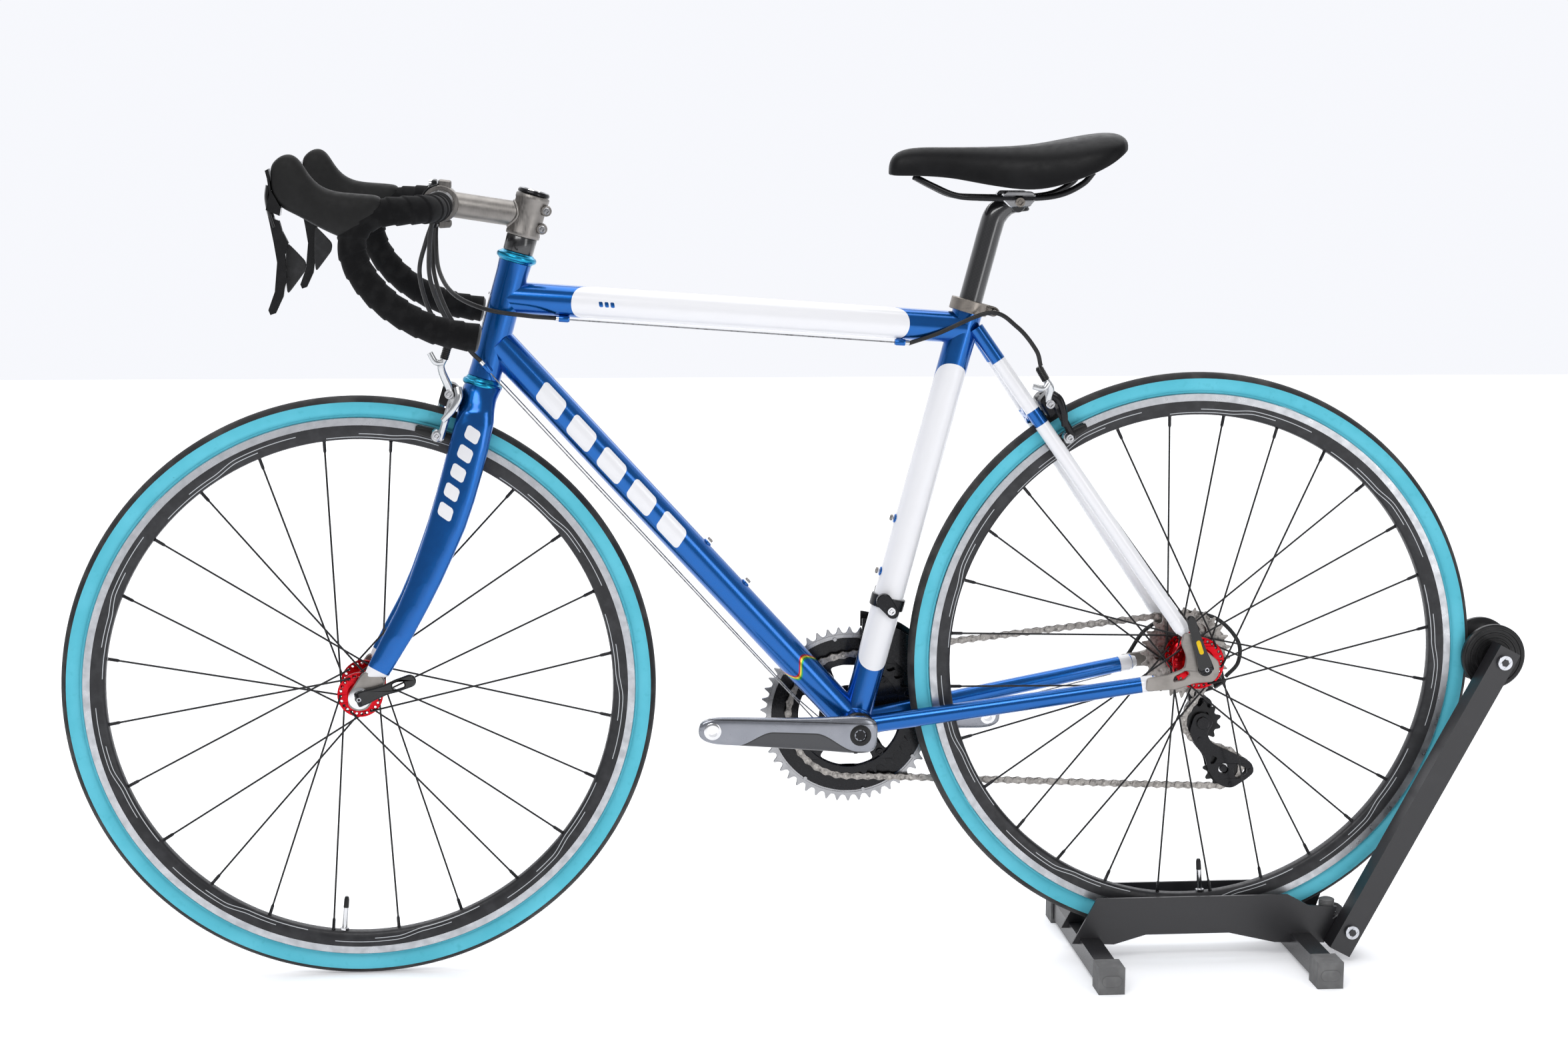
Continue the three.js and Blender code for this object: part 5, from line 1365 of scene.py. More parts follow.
def crank(side):
    """A forged arm: deep at the axle, waisted, and thinner at the pedal eye, with its two tones."""
    ahead = Vector((-math.cos(CRANK_TILT), 0, math.sin(CRANK_TILT))) * (1 if side < 0 else -1)
    upward = Vector((math.sin(CRANK_TILT), 0, math.cos(CRANK_TILT)))
    base = 47.2 if side < 0 else 54.5
    stations = [  # along, half height above, below, inner and outer face
        (-21, 12, 14, 0, 11), (-15, 19, 21, 0, 14.5), (0, 22, 23, 0, 16), (20, 20, 22, 0.2, 16.5),
        (45, 18, 20.5, 1.5, 17), (80, 16.6, 19.5, 4.5, 18), (115, 16.2, 17.8, 8, 20.5),
        (145, 16.2, 16.8, 11, 23), (165, 16, 16.4, 12.6, 24.4), (178, 13, 13.4, 13.2, 24.8),
    (186, 7, 7.2, 13.8, 24.4),
]
    sections = []
    for along, above, below, inner, outer in stations:
        ring = []
        mid, deep = (inner + outer) / 2, (outer - inner) / 2
        for k in range(20):
            angle = 2 * math.pi * k / 20
            c, s = math.cos(angle), math.sin(angle)
            up = (above if s > 0 else below) * math.copysign(abs(s) ** 0.55, s)
            out = mid + deep * math.copysign(abs(c) ** 0.55, c)
            ring.append(CRANK_AXIS + ahead * along + upward * up + ACROSS * side * (base + out))
        sections.append(ring)
    word = side_word(side)
    arm = skin(f"crank_arm_{word}", sections, crank_paint(side, ahead, upward), None, 2)
    eye = CRANK_AXIS + ahead * CRANK_LENGTH
    cutter = piece("eye_cutter", *bore_mesh(eye, 7.4), RAW_METAL, None, smooth=False)
    hole = arm.modifiers.new("Eye", "BOOLEAN")
    hole.object, hole.solver = cutter, "EXACT"
    baked(arm)
    arm.data.set_sharp_from_angle(angle=SMOOTH_ANGLE)
    bpy.data.objects.remove(cutter)
    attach(arm, "crankset")
    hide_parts(f"{word}_crank")
    sleeve = [(6.4, 12.4), (9.2, 12.4), (9.8, 13), (9.8, 25.2), (9.2, 25.6), (6.4, 25.6)]
    turned(f"pedal_eye_{word}", [(r, (base + a) * side) for r, a in sleeve],
           (eye.x, 0, eye.z), ACROSS, POLISHED, "crankset", 48)
    cap = [(0, 15.2), (6.2, 15.2), (7.2, 16.4), (11.2, 16.8), (12.2, 16.2), (12.2, 12), (0, 12)]
    turned(f"crank_cap_{word}", [(r, (base + a) * side) for r, a in cap], (CRANK_AXIS.x, 0, CRANK_AXIS.z),
           ACROSS, BLACK_PLASTIC, "crankset", 48)
    if side < 0:
        star = []
        for k in range(16):
            radius = 6.4 if k % 2 else 5.0
            angle = 2 * math.pi * k / 16
            star.append((CRANK_AXIS.x + radius * math.cos(angle), CRANK_AXIS.z + radius * math.sin(angle)))
        plate("crank_cap_star", [star], -base - 17.2, -base - 15, BLACK_METAL, "crankset", 0)
        for k, along in enumerate((-13, 13)):
            place = CRANK_AXIS + ahead * along * 0.3 - upward * 20 - ACROSS * (base + 6 + k * 5)
            hex_bolt(f"crank_pinch_{k}", place, -upward, 2.6, 2.2, BLACK_METAL, "crankset")
        axle = [(0, -base + 0.5), (12, -base + 0.5), (12, 42.6), (0, 42.6)]
        turned("crank_axle", axle, (CRANK_AXIS.x, 0, CRANK_AXIS.z), ACROSS, POLISHED, "crankset", 48)


def bore_mesh(centre, radius):
    places, faces = [], []
    add_prism((places, faces), circle(0, 0, radius, 40), centre, FORE, UP, -100, 100)
    return places, faces


def crank_paint(side, ahead, upward):
    """Polished grey above a curved line, darker below it, divided by a fine black groove."""
    look = Look(f"crank_paint_{side_word(side)}", (0.36, 0.37, 0.39), 0.24, metal=0.85, coat=0.7,
                coat_rough=0.08)
    split = look.add("ShaderNodeSeparateXYZ", Vector=look.here)
    middle = spot(CRANK_AXIS)
    x = look.sum("SUBTRACT", split.outputs[0], middle.x)
    z = look.sum("SUBTRACT", split.outputs[2], middle.z)
    along = look.sum("ADD", look.sum("MULTIPLY", x, ahead.x * 1000), look.sum("MULTIPLY", z, ahead.z * 1000))
    height = look.sum("ADD", look.sum("MULTIPLY", x, upward.x * 1000),
                      look.sum("MULTIPLY", z, upward.z * 1000))
    rise = look.ramp(along, 2.0, 52.0, 0.0, 20.0)
    fall = look.ramp(along, 100.0, 145.0, 0.0, -18.0)
    line = look.sum("ADD", rise, look.sum("ADD", fall, -20.0))
    over = look.sum("SUBTRACT", height, line)
    dark = look.ramp(over, -0.6, 0.4, 1.0, 0.0)
    groove = look.ramp(look.sum("ABSOLUTE", over), 0.4, 1.0, 1.0, 0.0)
    edge = look.ramp(look.sum("ABSOLUTE", look.sum("SUBTRACT", height, 13.2)), 0.35, 0.7, 1.0, 0.0)
    tone = look.mix(look.ramp(look.noise(50, 4), 0.35, 0.7), (0.25, 0.26, 0.29), (0.23, 0.24, 0.27))
    tone = look.mix(dark, tone, (0.045, 0.046, 0.05))
    tone = look.mix(look.sum("MAXIMUM", groove, look.sum("MULTIPLY", edge, 0.8)), tone, (0.01, 0.01, 0.01))
    look.colour(tone)
    look.shade(look.noise(120, 3), 0.22, 0.28)
    return look.material


def cassette():
    counts = (25, 23, 21, 19, 17, 16, 15, 14, 13, 12, 11)
    for k, teeth in enumerate(counts):
        y = 22.0 + k * 3.62
        loops = [toothed(REAR_AXLE, teeth, pitch_radius(teeth), lean=0.13 * k),
                 circle(REAR_AXLE.x, REAR_AXLE.z, 13, 40)]
        if teeth >= 19:
            radius = pitch_radius(teeth) - 11
            for j in range(6):
                angle = math.pi / 3 * j + 0.2 * k
                middle = (14 + radius) / 2 + 3
                loops.append(circle(REAR_AXLE.x + middle * math.cos(angle),
                                    REAR_AXLE.z + middle * math.sin(angle), (radius - 17) / 3.2 + 2, 16))
        rest = {"stands_for": ("cassette",), "slot": "drive_steel"} if k == 0 else {}
        plate(f"cog_{teeth}", loops, y - 0.85, y + 0.85, CHAIN_STEEL, "cassette", 0.3, **rest)
        spacer = [(13, y + 0.85), (17.5, y + 0.85), (17.5, y + 2.77), (13, y + 2.77)]
        if k < len(counts) - 1:
            turned(f"cog_spacer_{k}", spacer, (REAR_AXLE.x, 0, REAR_AXLE.z), ACROSS, BLACK_METAL, "cassette",
                   48)
    ring = [(11.5, 59), (15.8, 59), (16.4, 59.6), (16, 60.6), (11.5, 60.6)]
    turned("cassette_lock_ring", ring, (REAR_AXLE.x, 0, REAR_AXLE.z), ACROSS, POLISHED, "cassette", 48)


def cage_and_rings():
    chain_rings()
    spider()
    for side in (-1, 1):
        crank(side)


def pulleys():
    for node, centre in (("upper_pulley", UPPER_PULLEY), ("lower_pulley", LOWER_PULLEY)):
        loops = [toothed(centre, 11, PULLEY, 1.4, -3.6), circle(centre.x, centre.z, 3.6, 24)]
        loops += [circle(centre.x + 10.5 * math.cos(k * math.pi / 3),
                         centre.z + 10.5 * math.sin(k * math.pi / 3), 2.6, 14) for k in range(6)]
        plate(f"{node}_wheel", loops, 28.9, 31.1, BLACK_PLASTIC, node, 0.3, stands_for=(node,),
              slot="derailleur_black")
        turned(f"{node}_bush", [(3.4, 27.6), (6.4, 27.6), (6.4, 32.4), (3.4, 32.4)], (centre.x, 0, centre.z),
               ACROSS, POLISHED, node, 32)


CAGE = [(976, 283), (990, 285), (1000, 273), (991, 259), (998, 247), (1013, 240), (1032, 231), (1047, 223),
        (1051, 211), (1042, 203), (1023, 191), (1006, 197), (994, 213), (990, 231), (977, 246), (970, 262)]


def derailleurs():
    for label, y, rest in (("inner", 23.6, {"stands_for": ("derailleur_cage",), "slot": "derailleur_black"}),
                           ("outer", 35.0, {})):
        gap = rounded([(1027, 222), (1041, 216), (1042, 209), (1029, 203), (1025, 212)], 3)
        holes = [circle(UPPER_PULLEY.x, UPPER_PULLEY.z, 3.2, 20),
                 circle(LOWER_PULLEY.x, LOWER_PULLEY.z, 6.4, 28), gap]
        holes.append(rounded([(999, 232), (1005, 229), (1001, 222), (997, 222)], 2))
        plate(f"cage_{label}", [rounded(CAGE, 7), *holes], y, y + 1.8, BLACK_METAL, "rear_derailleur", 0.4,
              **rest)
        plate(f"cage_boss_{label}", [circle(UPPER_PULLEY.x, UPPER_PULLEY.z, 7.4, 36)],
              y - (label == "inner") * 2.2, y + 1.8 + (label == "outer") * 2.2, BLACK_METAL,
              "rear_derailleur", 0.5)
    for k, place in enumerate(((1045.5, 213), (1022, 197), (983, 252))):
        turned(f"cage_pin_{k}", [(0, 22.6), (2.6, 22.6), (2.6, 37.8), (0, 37.8)], (place[0], 0, place[1]),
               ACROSS, BLACK_METAL, "rear_derailleur", 20)
    plate("cage_hub", [circle(LOWER_PULLEY.x, LOWER_PULLEY.z, 4.6, 28)], 23, 37.6, BLACK_METAL,
          "rear_derailleur", 0.5)
    body = [((974, 331), 11, (973, 318), 9, 73.2, 86), ((973, 322), 8, (994, 289), 8.5, 75, 84),
            ((979, 318), 5, (984, 292), 6, 60, 73), ((992, 290), 9.5, (986, 277), 11.5, 39, 75)]
    for k, (a, ra, b, rb, low, high) in enumerate(body):
        rest = {"stands_for": ("rear_derailleur",), "slot": "derailleur_black"} if k == 0 else {}
        plate(f"derailleur_body_{k}", [link(a, ra, b, rb)], low, high, BLACK_METAL, "rear_derailleur", 2.2,
              **rest)
    bevelled("front_derailleur", BLACK_METAL, 0.6)
    for k, (x, z, y, size) in enumerate(((974, 331, 86, 6), (973, 318, 86, 3), (995, 285, 84, 5))):
        hex_bolt(f"derailleur_bolt_{k}", (x, y, z), ACROSS, size, 2.2, POLISHED if k == 2 else BLACK_METAL,
                 "rear_derailleur")
    for k, centre in enumerate((UPPER_PULLEY, LOWER_PULLEY)):
        hex_bolt(f"pulley_bolt_{k}", (centre.x, 39, centre.z), ACROSS, 4, 1.2, POLISHED, "rear_derailleur")
    neck = straight((992, 79, 300), (1010, 77, 306), 4)
    tube("adjuster_neck", neck, 5.5, BLACK_METAL, "rear_derailleur", 24)
    way = Vector((26, -4, 18)).normalized()
    knob = [(0, -8)]
    for k in range(9):
        knob += [(6.6, -8 + k * 1.8), (5.9, -7.1 + k * 1.8)]
    knob += [(5, 9), (0, 9)]
    turned("derailleur_adjuster", knob, (1017, 76, 311), way, BLACK_PLASTIC, "rear_derailleur", 28)
    band = [(17.6, 0), (19.8, 0.4), (20.1, 2), (20.1, 12), (19.8, 13.6), (17.6, 14)]
    centre = CRANK_AXIS + SEAT_WAY * 148
    turned("front_derailleur_band", band, centre - SEAT_WAY * 7, SEAT_WAY, BLACK_METAL, "frame", 64)
    plate("front_derailleur_ear", [link((596, 432), 9, (606, 419), 7)], -26, -17, BLACK_METAL, "frame", 1.2)
    hex_bolt("front_derailleur_bolt", (604, -26, 421), (0, -1, 0), 4.6, 2.4, POLISHED, "frame")


# ---------- bars, stem and levers ----------
BAR_LINE = [(96, -150, 884), (96, -90, 884), (94, -50, 884), (84, -21, 884), (62, -6, 883), (36, -1, 880),
            (17, 0, 868), (10, 0, 848), (17, 0, 822), (38, 0, 794), (66, 0, 773), (98, 0, 759), (138, 0, 751)]
DROP_Y = 210


def bar_line(side):
    return through([(x, side * (DROP_Y + y), z) for x, y, z in BAR_LINE], 24)


def wrapped(distance, turn):
    """Extra radius of wound tape: each turn lies half over the one before."""
    share = (distance / 17.0 + turn) % 1.0
    return 1.5 * share if share < 0.9 else 15.0 * (1.0 - share) * 0.9


def bars():
    middle = straight((96, -66, 884), (96, 66, 884), 45)
    tube("bar_middle", middle, lambda s: 15.9 - 4.3 * max(0, abs(s - 0.5) * 2 - 0.55) / 0.45, BLACK_METAL,
         "steering", 48, stands_for=("handlebar",), slot="bar_alloy")
    for side in (-1, 1):
        word = side_word(side)
        line = bar_line(side)
        inner = [p for p in line if abs(p.y) < 92]
        tube(f"bar_end_{word}", [Vector((96, side * 60, 884)), *inner], 11.6, BLACK_METAL, "steering", 40)
        covered = [p for p in line if abs(p.y) >= 84]
        fine = through(covered[::3] + [covered[-1]], 7)
        tube(f"tape_{word}", fine, 14.2, TAPE, "steering", 36, relief=wrapped,
             stands_for=(f"{word}_bar_tape",), slot="bar_tape")
        end, before = covered[-1], covered[-4]
        plug = [(0, -4), (13.4, -4), (14.6, -1.5), (14.6, 0.5), (12, 2.6), (6, 3.4), (0, 3.4)]
        turned(f"bar_plug_{word}", plug, end, end - before, BLACK_PLASTIC, "steering", 40)
        finish = [(14.2, -5), (15.3, -5), (15.4, 5), (14.2, 5)]
        turned(f"tape_finish_{word}", finish, covered[0] + ACROSS * side * 5, ACROSS, BLACK_PLASTIC,
               "steering", 40)
        controls(side, word)


HOOD = [  # along, top, bottom, half width
    (-71, 926, 908, 7), (-69, 932, 898, 11), (-62, 939, 886, 13), (-52, 942.5, 881, 13.8),
    (-42, 938, 876, 14), (-33, 921, 871, 14.4), (-22, 909, 865, 15), (-8, 903.5, 858, 16), (6, 902, 853, 17),
    (20, 901, 862, 16.6), (32, 900, 874, 15.5), (42, 898, 884, 13),
]


def controls(side, word):
    sections = []
    for x, top, bottom, half in HOOD:
        ring = []
        for k in range(16):
            angle = 2 * math.pi * k / 16
            c, s = math.cos(angle), math.sin(angle)
            y = half * math.copysign(abs(c) ** 0.75, c)
            z = (top + bottom) / 2 + (top - bottom) / 2 * math.copysign(abs(s) ** 0.8, s)
            ring.append((x, side * DROP_Y + y, z))
        sections.append(ring)
    skin(f"hood_{word}", sections, HOOD_RUBBER, "steering", 2, stands_for=(f"{word}_hood",),
         slot="hood_rubber")
    bevelled(f"{word}_lever_bracket", GLOSS_BLACK, 1.0)
    y = side * DROP_Y
    bevelled(f"{word}_brake_lever", GLOSS_BLACK, 2.4)
    face = through([(-73, y, 909), (-74.5, y, 896), (-72, y, 880), (-68, y, 866)], 8)
    tube(f"lever_face_{word}", face, lambda s: (7.5 - 1.5 * s, 3.4), GLOSS_BLACK, f"{word}_lever_bracket", 28)
    paddle = [(-57, 851), (-48, 842), (-37, 830), (-38, 821), (-50, 805), (-57, 796), (-58.5, 812),
              (-58, 836)]
    low, high = sorted((side * 199.5, side * 204))
    plate(f"paddle_{word}", [rounded(paddle, 6)], low, high, MATT_BLACK, f"{word}_shift_paddle", 1.2,
          stands_for=(f"{word}_shift_paddle",), slot="lever_black")


def stem():
    clamp = [(14.6, 169), (18.6, 169), (19.2, 170), (19.2, 173), (18.2, 176), (18.2, 209), (19, 211),
             (19, 214.5), (18.2, 216), (14.6, 216)]
    turned("stem_clamp", clamp, HEAD_BASE, HEAD_WAY, STEM_METAL, "steering", 72, stands_for=("stem",),
           slot="titanium")
    spacer = [(14.6, 150.6), (16.8, 150.6), (17.3, 151.4), (17.3, 168), (16.8, 168.8), (14.6, 168.8)]
    turned("stem_spacer", spacer, HEAD_BASE, HEAD_WAY, WEAVE, "steering", 72)
    cap = [(0, 216.6), (17, 216.6), (18, 217.4), (18, 219.5), (16.6, 221.4), (6, 222), (5, 220.6), (0, 220.6)]
    turned("top_cap", cap, HEAD_BASE, HEAD_WAY, BLACK_METAL, "steering", 64)
    rim_ring = [(15.2, 221), (16.8, 221), (16.5, 222), (15.4, 222)]
    turned("top_cap_edge", rim_ring, HEAD_BASE, HEAD_WAY, POLISHED, "steering", 64)
    hex_bolt("top_cap_bolt", on_head(220.6), HEAD_WAY, 4.2, 1.6, POLISHED, "steering")
    root, front = on_head(192, 4), Vector((99, 0, 884.5))
    tube("stem_neck", straight(root, front, 16), lambda s: 14.2, STEM_METAL, "steering", 56)
    ring = []
    way = (root - front).normalized()
    over = way.cross(ACROSS)
    for k in range(61):
        a = 2 * math.pi * k / 60
        ray = front + ACROSS * 14.2 * math.sin(a) + over * 14.2 * math.cos(a)
        gap = ray - HEAD_BASE
        flat = gap - HEAD_WAY * gap.dot(HEAD_WAY)
        heading = way - HEAD_WAY * way.dot(HEAD_WAY)
        b, c = flat.dot(heading), flat.length_squared - 18.2**2
        reach = (-b - math.sqrt(max(0, b * b - heading.length_squared * c))) / heading.length_squared
        ring.append(ray + way * reach)
    tube("stem_weld", ring, lambda s: 1.9 + 0.2 * math.sin(s * 200), STEM_METAL, "steering", 12)
    barrel = [(16, -21), (19.6, -21), (20.4, -20), (20.4, 20), (19.6, 21), (16, 21)]
    turned("stem_barrel", barrel, (96, 0, 884), ACROSS, STEM_METAL, "steering", 64)
    plate_face = []
    for k in range(17):
        a = math.radians(96 + 168 * k / 16)
        plate_face.append((96 + 22.4 * math.cos(a), 884 + 22.4 * math.sin(a)))
    for k in range(17):
        a = math.radians(264 - 168 * k / 16)
        plate_face.append((96 + 16.4 * math.cos(a), 884 + 16.4 * math.sin(a)))
    plate("stem_face", [plate_face], -20.5, 20.5, GLOSS_BLACK, "steering", 1.0)
    for k, (z, over_z) in enumerate(((906, 1), (862, -1))):
        for y in (-14, 14):
            ear = [(87, z - 4.5), (92.6, z - 4.5), (92.6, z + 4.5), (87, z + 4.5)]
            plate(f"face_ear_{k}_{side_word(y)}", [rounded(ear, 2.5)], y - 6, y + 6, GLOSS_BLACK, "steering",
                  1.2)
            lug = [(94, z - 5), (108, z - 5 - over_z), (108, z + 3), (94, z + 4.5)]
            plate(f"stem_lug_{k}_{side_word(y)}", [rounded(lug, 2.5)], y - 5.6, y + 5.6, STEM_METAL,
                  "steering", 1.2)
            hex_bolt(f"face_bolt_{k}_{side_word(y)}", (87, y, z), (-1, 0, 0), 4.3, 3.2, POLISHED, "steering")
    for k, (x, z) in enumerate(((213, 876), (208, 856))):
        for side in (-1, 1):
            boss = [(0, 0), (5.6, 0), (6.0, 0.8), (6.0, 11.4), (5.4, 12.2), (0, 12.2)]
            turned(f"pinch_boss_{k}_{side_word(side)}", boss, (x, side * 1.0, z), (0, side, 0), STEM_METAL,
                   "steering", 40)
            hex_bolt(f"pinch_bolt_{k}_{side_word(side)}", (x, side * 13.2, z), (0, side, 0), 3.9, 2.4,
                     POLISHED, "steering")


# ---------- saddle ----------
SADDLE = [  # along, top, edge, half width
    (598.5, 927, 918, 6), (601, 937, 915, 12), (610, 945, 914, 17), (630, 949, 914, 20), (665, 950, 912, 22),
    (700, 950.5, 905, 27), (735, 951.5, 898, 35), (765, 954, 897, 47), (792, 959, 905, 58),
    (818, 964, 915, 65), (842, 967.5, 928, 66), (858, 966, 942, 58), (866, 959, 949, 40),
]


def saddle():
    sections = []
    for x, top, edge, half in SADDLE:
        ring = []
        for k in range(15):
            a = math.pi * k / 14
            c = math.cos(a)
            lift = math.sin(a) ** 0.62
            dip = 1.6 * math.exp(-((c / 0.28) ** 2)) if 640 < x < 850 else 0
            ring.append((x, half * math.copysign(abs(c) ** 0.9, c), edge + (top - edge) * lift - dip))
        for k in range(1, 8):
            c = -math.cos(math.pi * k / 8)
            y = (half - 3) * c
            ring.append((x, y, edge + 1 + (top - 8 - edge) * max(0, 1 - abs(c) ** 2.5) * (top - edge > 14)))
        sections.append(ring)
    body = skin("saddle_skin", sections, LEATHER, "frame", 2, stands_for=("saddle",), slot="saddle_cover")
    for side in (-1, 1):
        rail = through([(628, side * 5, 915), (648, side * 11, 905), (672, side * 18, 895),
                        (700, side * 22, 892.5), (760, side * 22, 892.5), (792, side * 24, 897),
                        (815, side * 30, 909), (826, side * 34, 922)], 10)
        tube(f"rail_{side_word(side)}", rail, 3.5, RAIL, "frame", 24)
        low, high = sorted((side * 15.5, side * 28))
        top = [(724, 894.5), (728, 900), (758, 900), (763, 894.5)]
        under = [(724, 890.5), (763, 890.5), (756, 883), (733, 882)]
        plate(f"clamp_upper_{side_word(side)}", [rounded(top, 2.4)], low, high, POLISHED, "frame", 1.0)
        plate(f"clamp_lower_{side_word(side)}", [rounded(under, 2.6)], low, high, POLISHED, "frame", 1.0)
        hex_bolt(f"clamp_bolt_{side_word(side)}", (744, side * 28.4, 888), (0, side, 0), 5.4, 2.4, CLAMP,
                 "frame")
    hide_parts("saddle_rails")
    shaft = through([on_seat(3), on_seat(30), on_seat(62), on_seat(86), (721, 0, 872), (733, 0, 882),
                     (748, 0, 885.5)], 10)
    tube("post_shaft", shaft, lambda s: (13.6, 13.6 - 4.6 * max(0, (s - 0.8) / 0.2)), WEAVE, "frame", 56,
         stands_for=("seatpost",), slot="carbon")
    cradle = [(0, -17), (8, -17), (9, -16), (9, 16), (8, 17), (0, 17)]
    turned("post_cradle", cradle, (744, 0, 885), ACROSS, WEAVE, "frame", 40)
    web = [(723, 874), (760, 878), (752, 889), (727, 889)]
    plate("post_web", [rounded(web, 5)], -12, 12, WEAVE, "frame", 2.5)


# ---------- brakes ----------
def brakes():
    for end, axle, bolt in (("front", FRONT_AXLE, (103, 672)), ("rear", REAR_AXLE, (784, 658))):
        out = Vector((bolt[0] - axle.x, 0, bolt[1] - axle.z))
        reach = out.length
        out.normalize()
        forth = out.cross(ACROSS) * -1
        for side in (-1, 1):
            node = f"{end}_calliper_{side_word(side)}_arm"
            silver = BRAKE_SILVER if end == "front" else BLACK_METAL
            arm = [(-11, reach - 6), (-12, reach + 8), (2, reach + 13), (16, reach + 12), (29, reach + 4),
                   (35, reach - 10), (34, reach - 22), (28, 300), (17, 300), (16.6, 309), (22, 316),
                   (25, reach - 18), (20, reach - 8), (8, reach - 7)]
            loop = rounded([(side * y, r) for y, r in arm], 6)
            near, far = (0.6, 8.6) if side > 0 else (-8.6, -0.6)
            plate(f"{end}_arm_{side_word(side)}", [loop], near, far, silver, node, 2.0, ACROSS, out,
                  axle, stands_for=(node,), slot="calliper_metal")
            pad_block(end, side, node, axle, out, forth)
        head = axle + out * reach
        block = [(-9, -12), (8, -13), (13, -4), (12, 10), (2, 15), (-9, 11)]
        for k, (low, high, scale) in enumerate(((-30, -9, 1.0), (9, 27, 0.8))):
            shape = rounded([(u * scale, v * scale) for u, v in block], 4)
            plate(f"{end}_brake_block_{k}", [shape], low, high, BLACK_METAL,
                  f"{end}_calliper_{'left' if low < 0 else 'right'}_arm", 2.0, forth, out, head)
        hex_bolt(f"{end}_block_bolt", head + out * 2 - ACROSS * 30.5, (0, -1, 0), 5.2, 2.6, POLISHED,
                 f"{end}_calliper_left_arm")
        outer = through([head + out * 12 - ACROSS * 31 + forth * 7, head + out * 2 - ACROSS * 35 + forth * 11,
                         head - out * 14 - ACROSS * 35 + forth * 8,
                         head - out * 28 - ACROSS * 30 + forth * 2], 8)
        tube(f"{end}_outer_arm", outer, lambda s: (3.4, 4.6 - 0.8 * s), BRAKE_SILVER if end == "front" else
             BLACK_METAL, f"{end}_calliper_left_arm", 24)
        hex_bolt(f"{end}_calliper_bolt", head + forth * 9.2, forth, 6, 4, POLISHED,
                 f"{end}_calliper_left_arm")
        barrel = [(0, -9), (3.4, -9)]
        for k in range(8):
            barrel += [(4.9, -8 + k * 2), (4.3, -7 + k * 2)]
        barrel += [(3.4, 9), (0, 9)]
        top = Vector((101, -35, 722)) if end == "front" else Vector((772, -35, 695))
        node = f"{end}_calliper_left_arm"
        turned(f"{end}_brake_adjuster", barrel, top, out, BLACK_PLASTIC, node, 32)
        joiner = through([top - out * 8, top - out * 20 + ACROSS * 2, head + out * 6 - ACROSS * 26], 8)
        tube(f"{end}_adjuster_arm", joiner, lambda s: (4.6 + s, 4.0 + s), BRAKE_SILVER, node, 24)
        lever = through([top - out * 12 - ACROSS * 6, top - out * 14 - forth * 8 - ACROSS * 7,
                         top - out * 6 - forth * 17 - ACROSS * 7], 6)
        tube(f"{end}_brake_release", lever, lambda s: (2.6, 3.4), BRAKE_SILVER, node, 20)


def pad_block(end, side, node, axle, out, forth):
    """A brake shoe: a long curved holder with its rubber, held by a bolt with a round washer."""
    def arc(radius, y, k, spread=0.165):
        turn = (k / 10 - 0.5) * spread
        return axle + (out * math.cos(turn) + forth * math.sin(turn)) * radius + ACROSS * side * y

    holder = [arc(305.5, 17.0, k) for k in range(11)]
    tube(f"{end}_shoe_{side_word(side)}", holder, lambda s: (3.2, 5.6 - 1.8 * abs(2 * s - 1) ** 4),
         BLACK_PLASTIC, node, 20)
    rubber = [arc(305.5, 13.6, k, 0.155) for k in range(11)]
    tube(f"{end}_pad_{side_word(side)}", rubber, (1.5, 4.8), PAD_RUBBER, node, 16)
    place = arc(305.5, 23.5, 5)
    washer = [(2.6, -3.2), (7.4, -3.2), (7.8, 0), (6, 3.4), (2.6, 3.4)]
    turned(f"{end}_shoe_washer_{side_word(side)}", washer, place, (0, side, 0), BRAKE_SILVER, node, 32)
    hex_bolt(f"{end}_shoe_bolt_{side_word(side)}", place + ACROSS * side * 7.2, (0, side, 0), 4.2, 3.4,
             POLISHED, node)


# ---------- cables ----------
HOUSING_RADIUS = 2.5
FRONT_BRAKE_ROUTE = [(92, -96, 872), (82, -84, 845), (74, -64, 812), (81, -46, 775), (95, -37, 745),
                     (99, -35, 734)]
REAR_BRAKE_FRONT = [(90, 96, 872), (88, 86, 842), (92, 56, 806), (110, 10, 782), (146, -27, 768),
                    (190, -28, 761), (222, -11, 757)]
REAR_BRAKE_REAR = [(622, -10, 727.6), (655, -20, 740), (711, -33, 764), (742, -36, 748), (764, -36, 722),
                   (770, -35, 704)]
LEFT_SHIFT = [(90, -104, 872), (86, -92, 842), (86, -68, 802), (102, -42, 758), (126, -30, 724),
              (139, -25, 710)]
RIGHT_SHIFT = [(90, 104, 872), (86, 92, 842), (86, 68, 802), (102, 42, 758), (126, 30, 724), (139, 25, 710)]
DERAILLEUR_ROUTE = [(905, 76, 345), (928, 79, 376), (968, 82, 394), (1012, 82, 388), (1041, 82, 360),
                    (1042, 79, 334), (1026, 75, 317)]


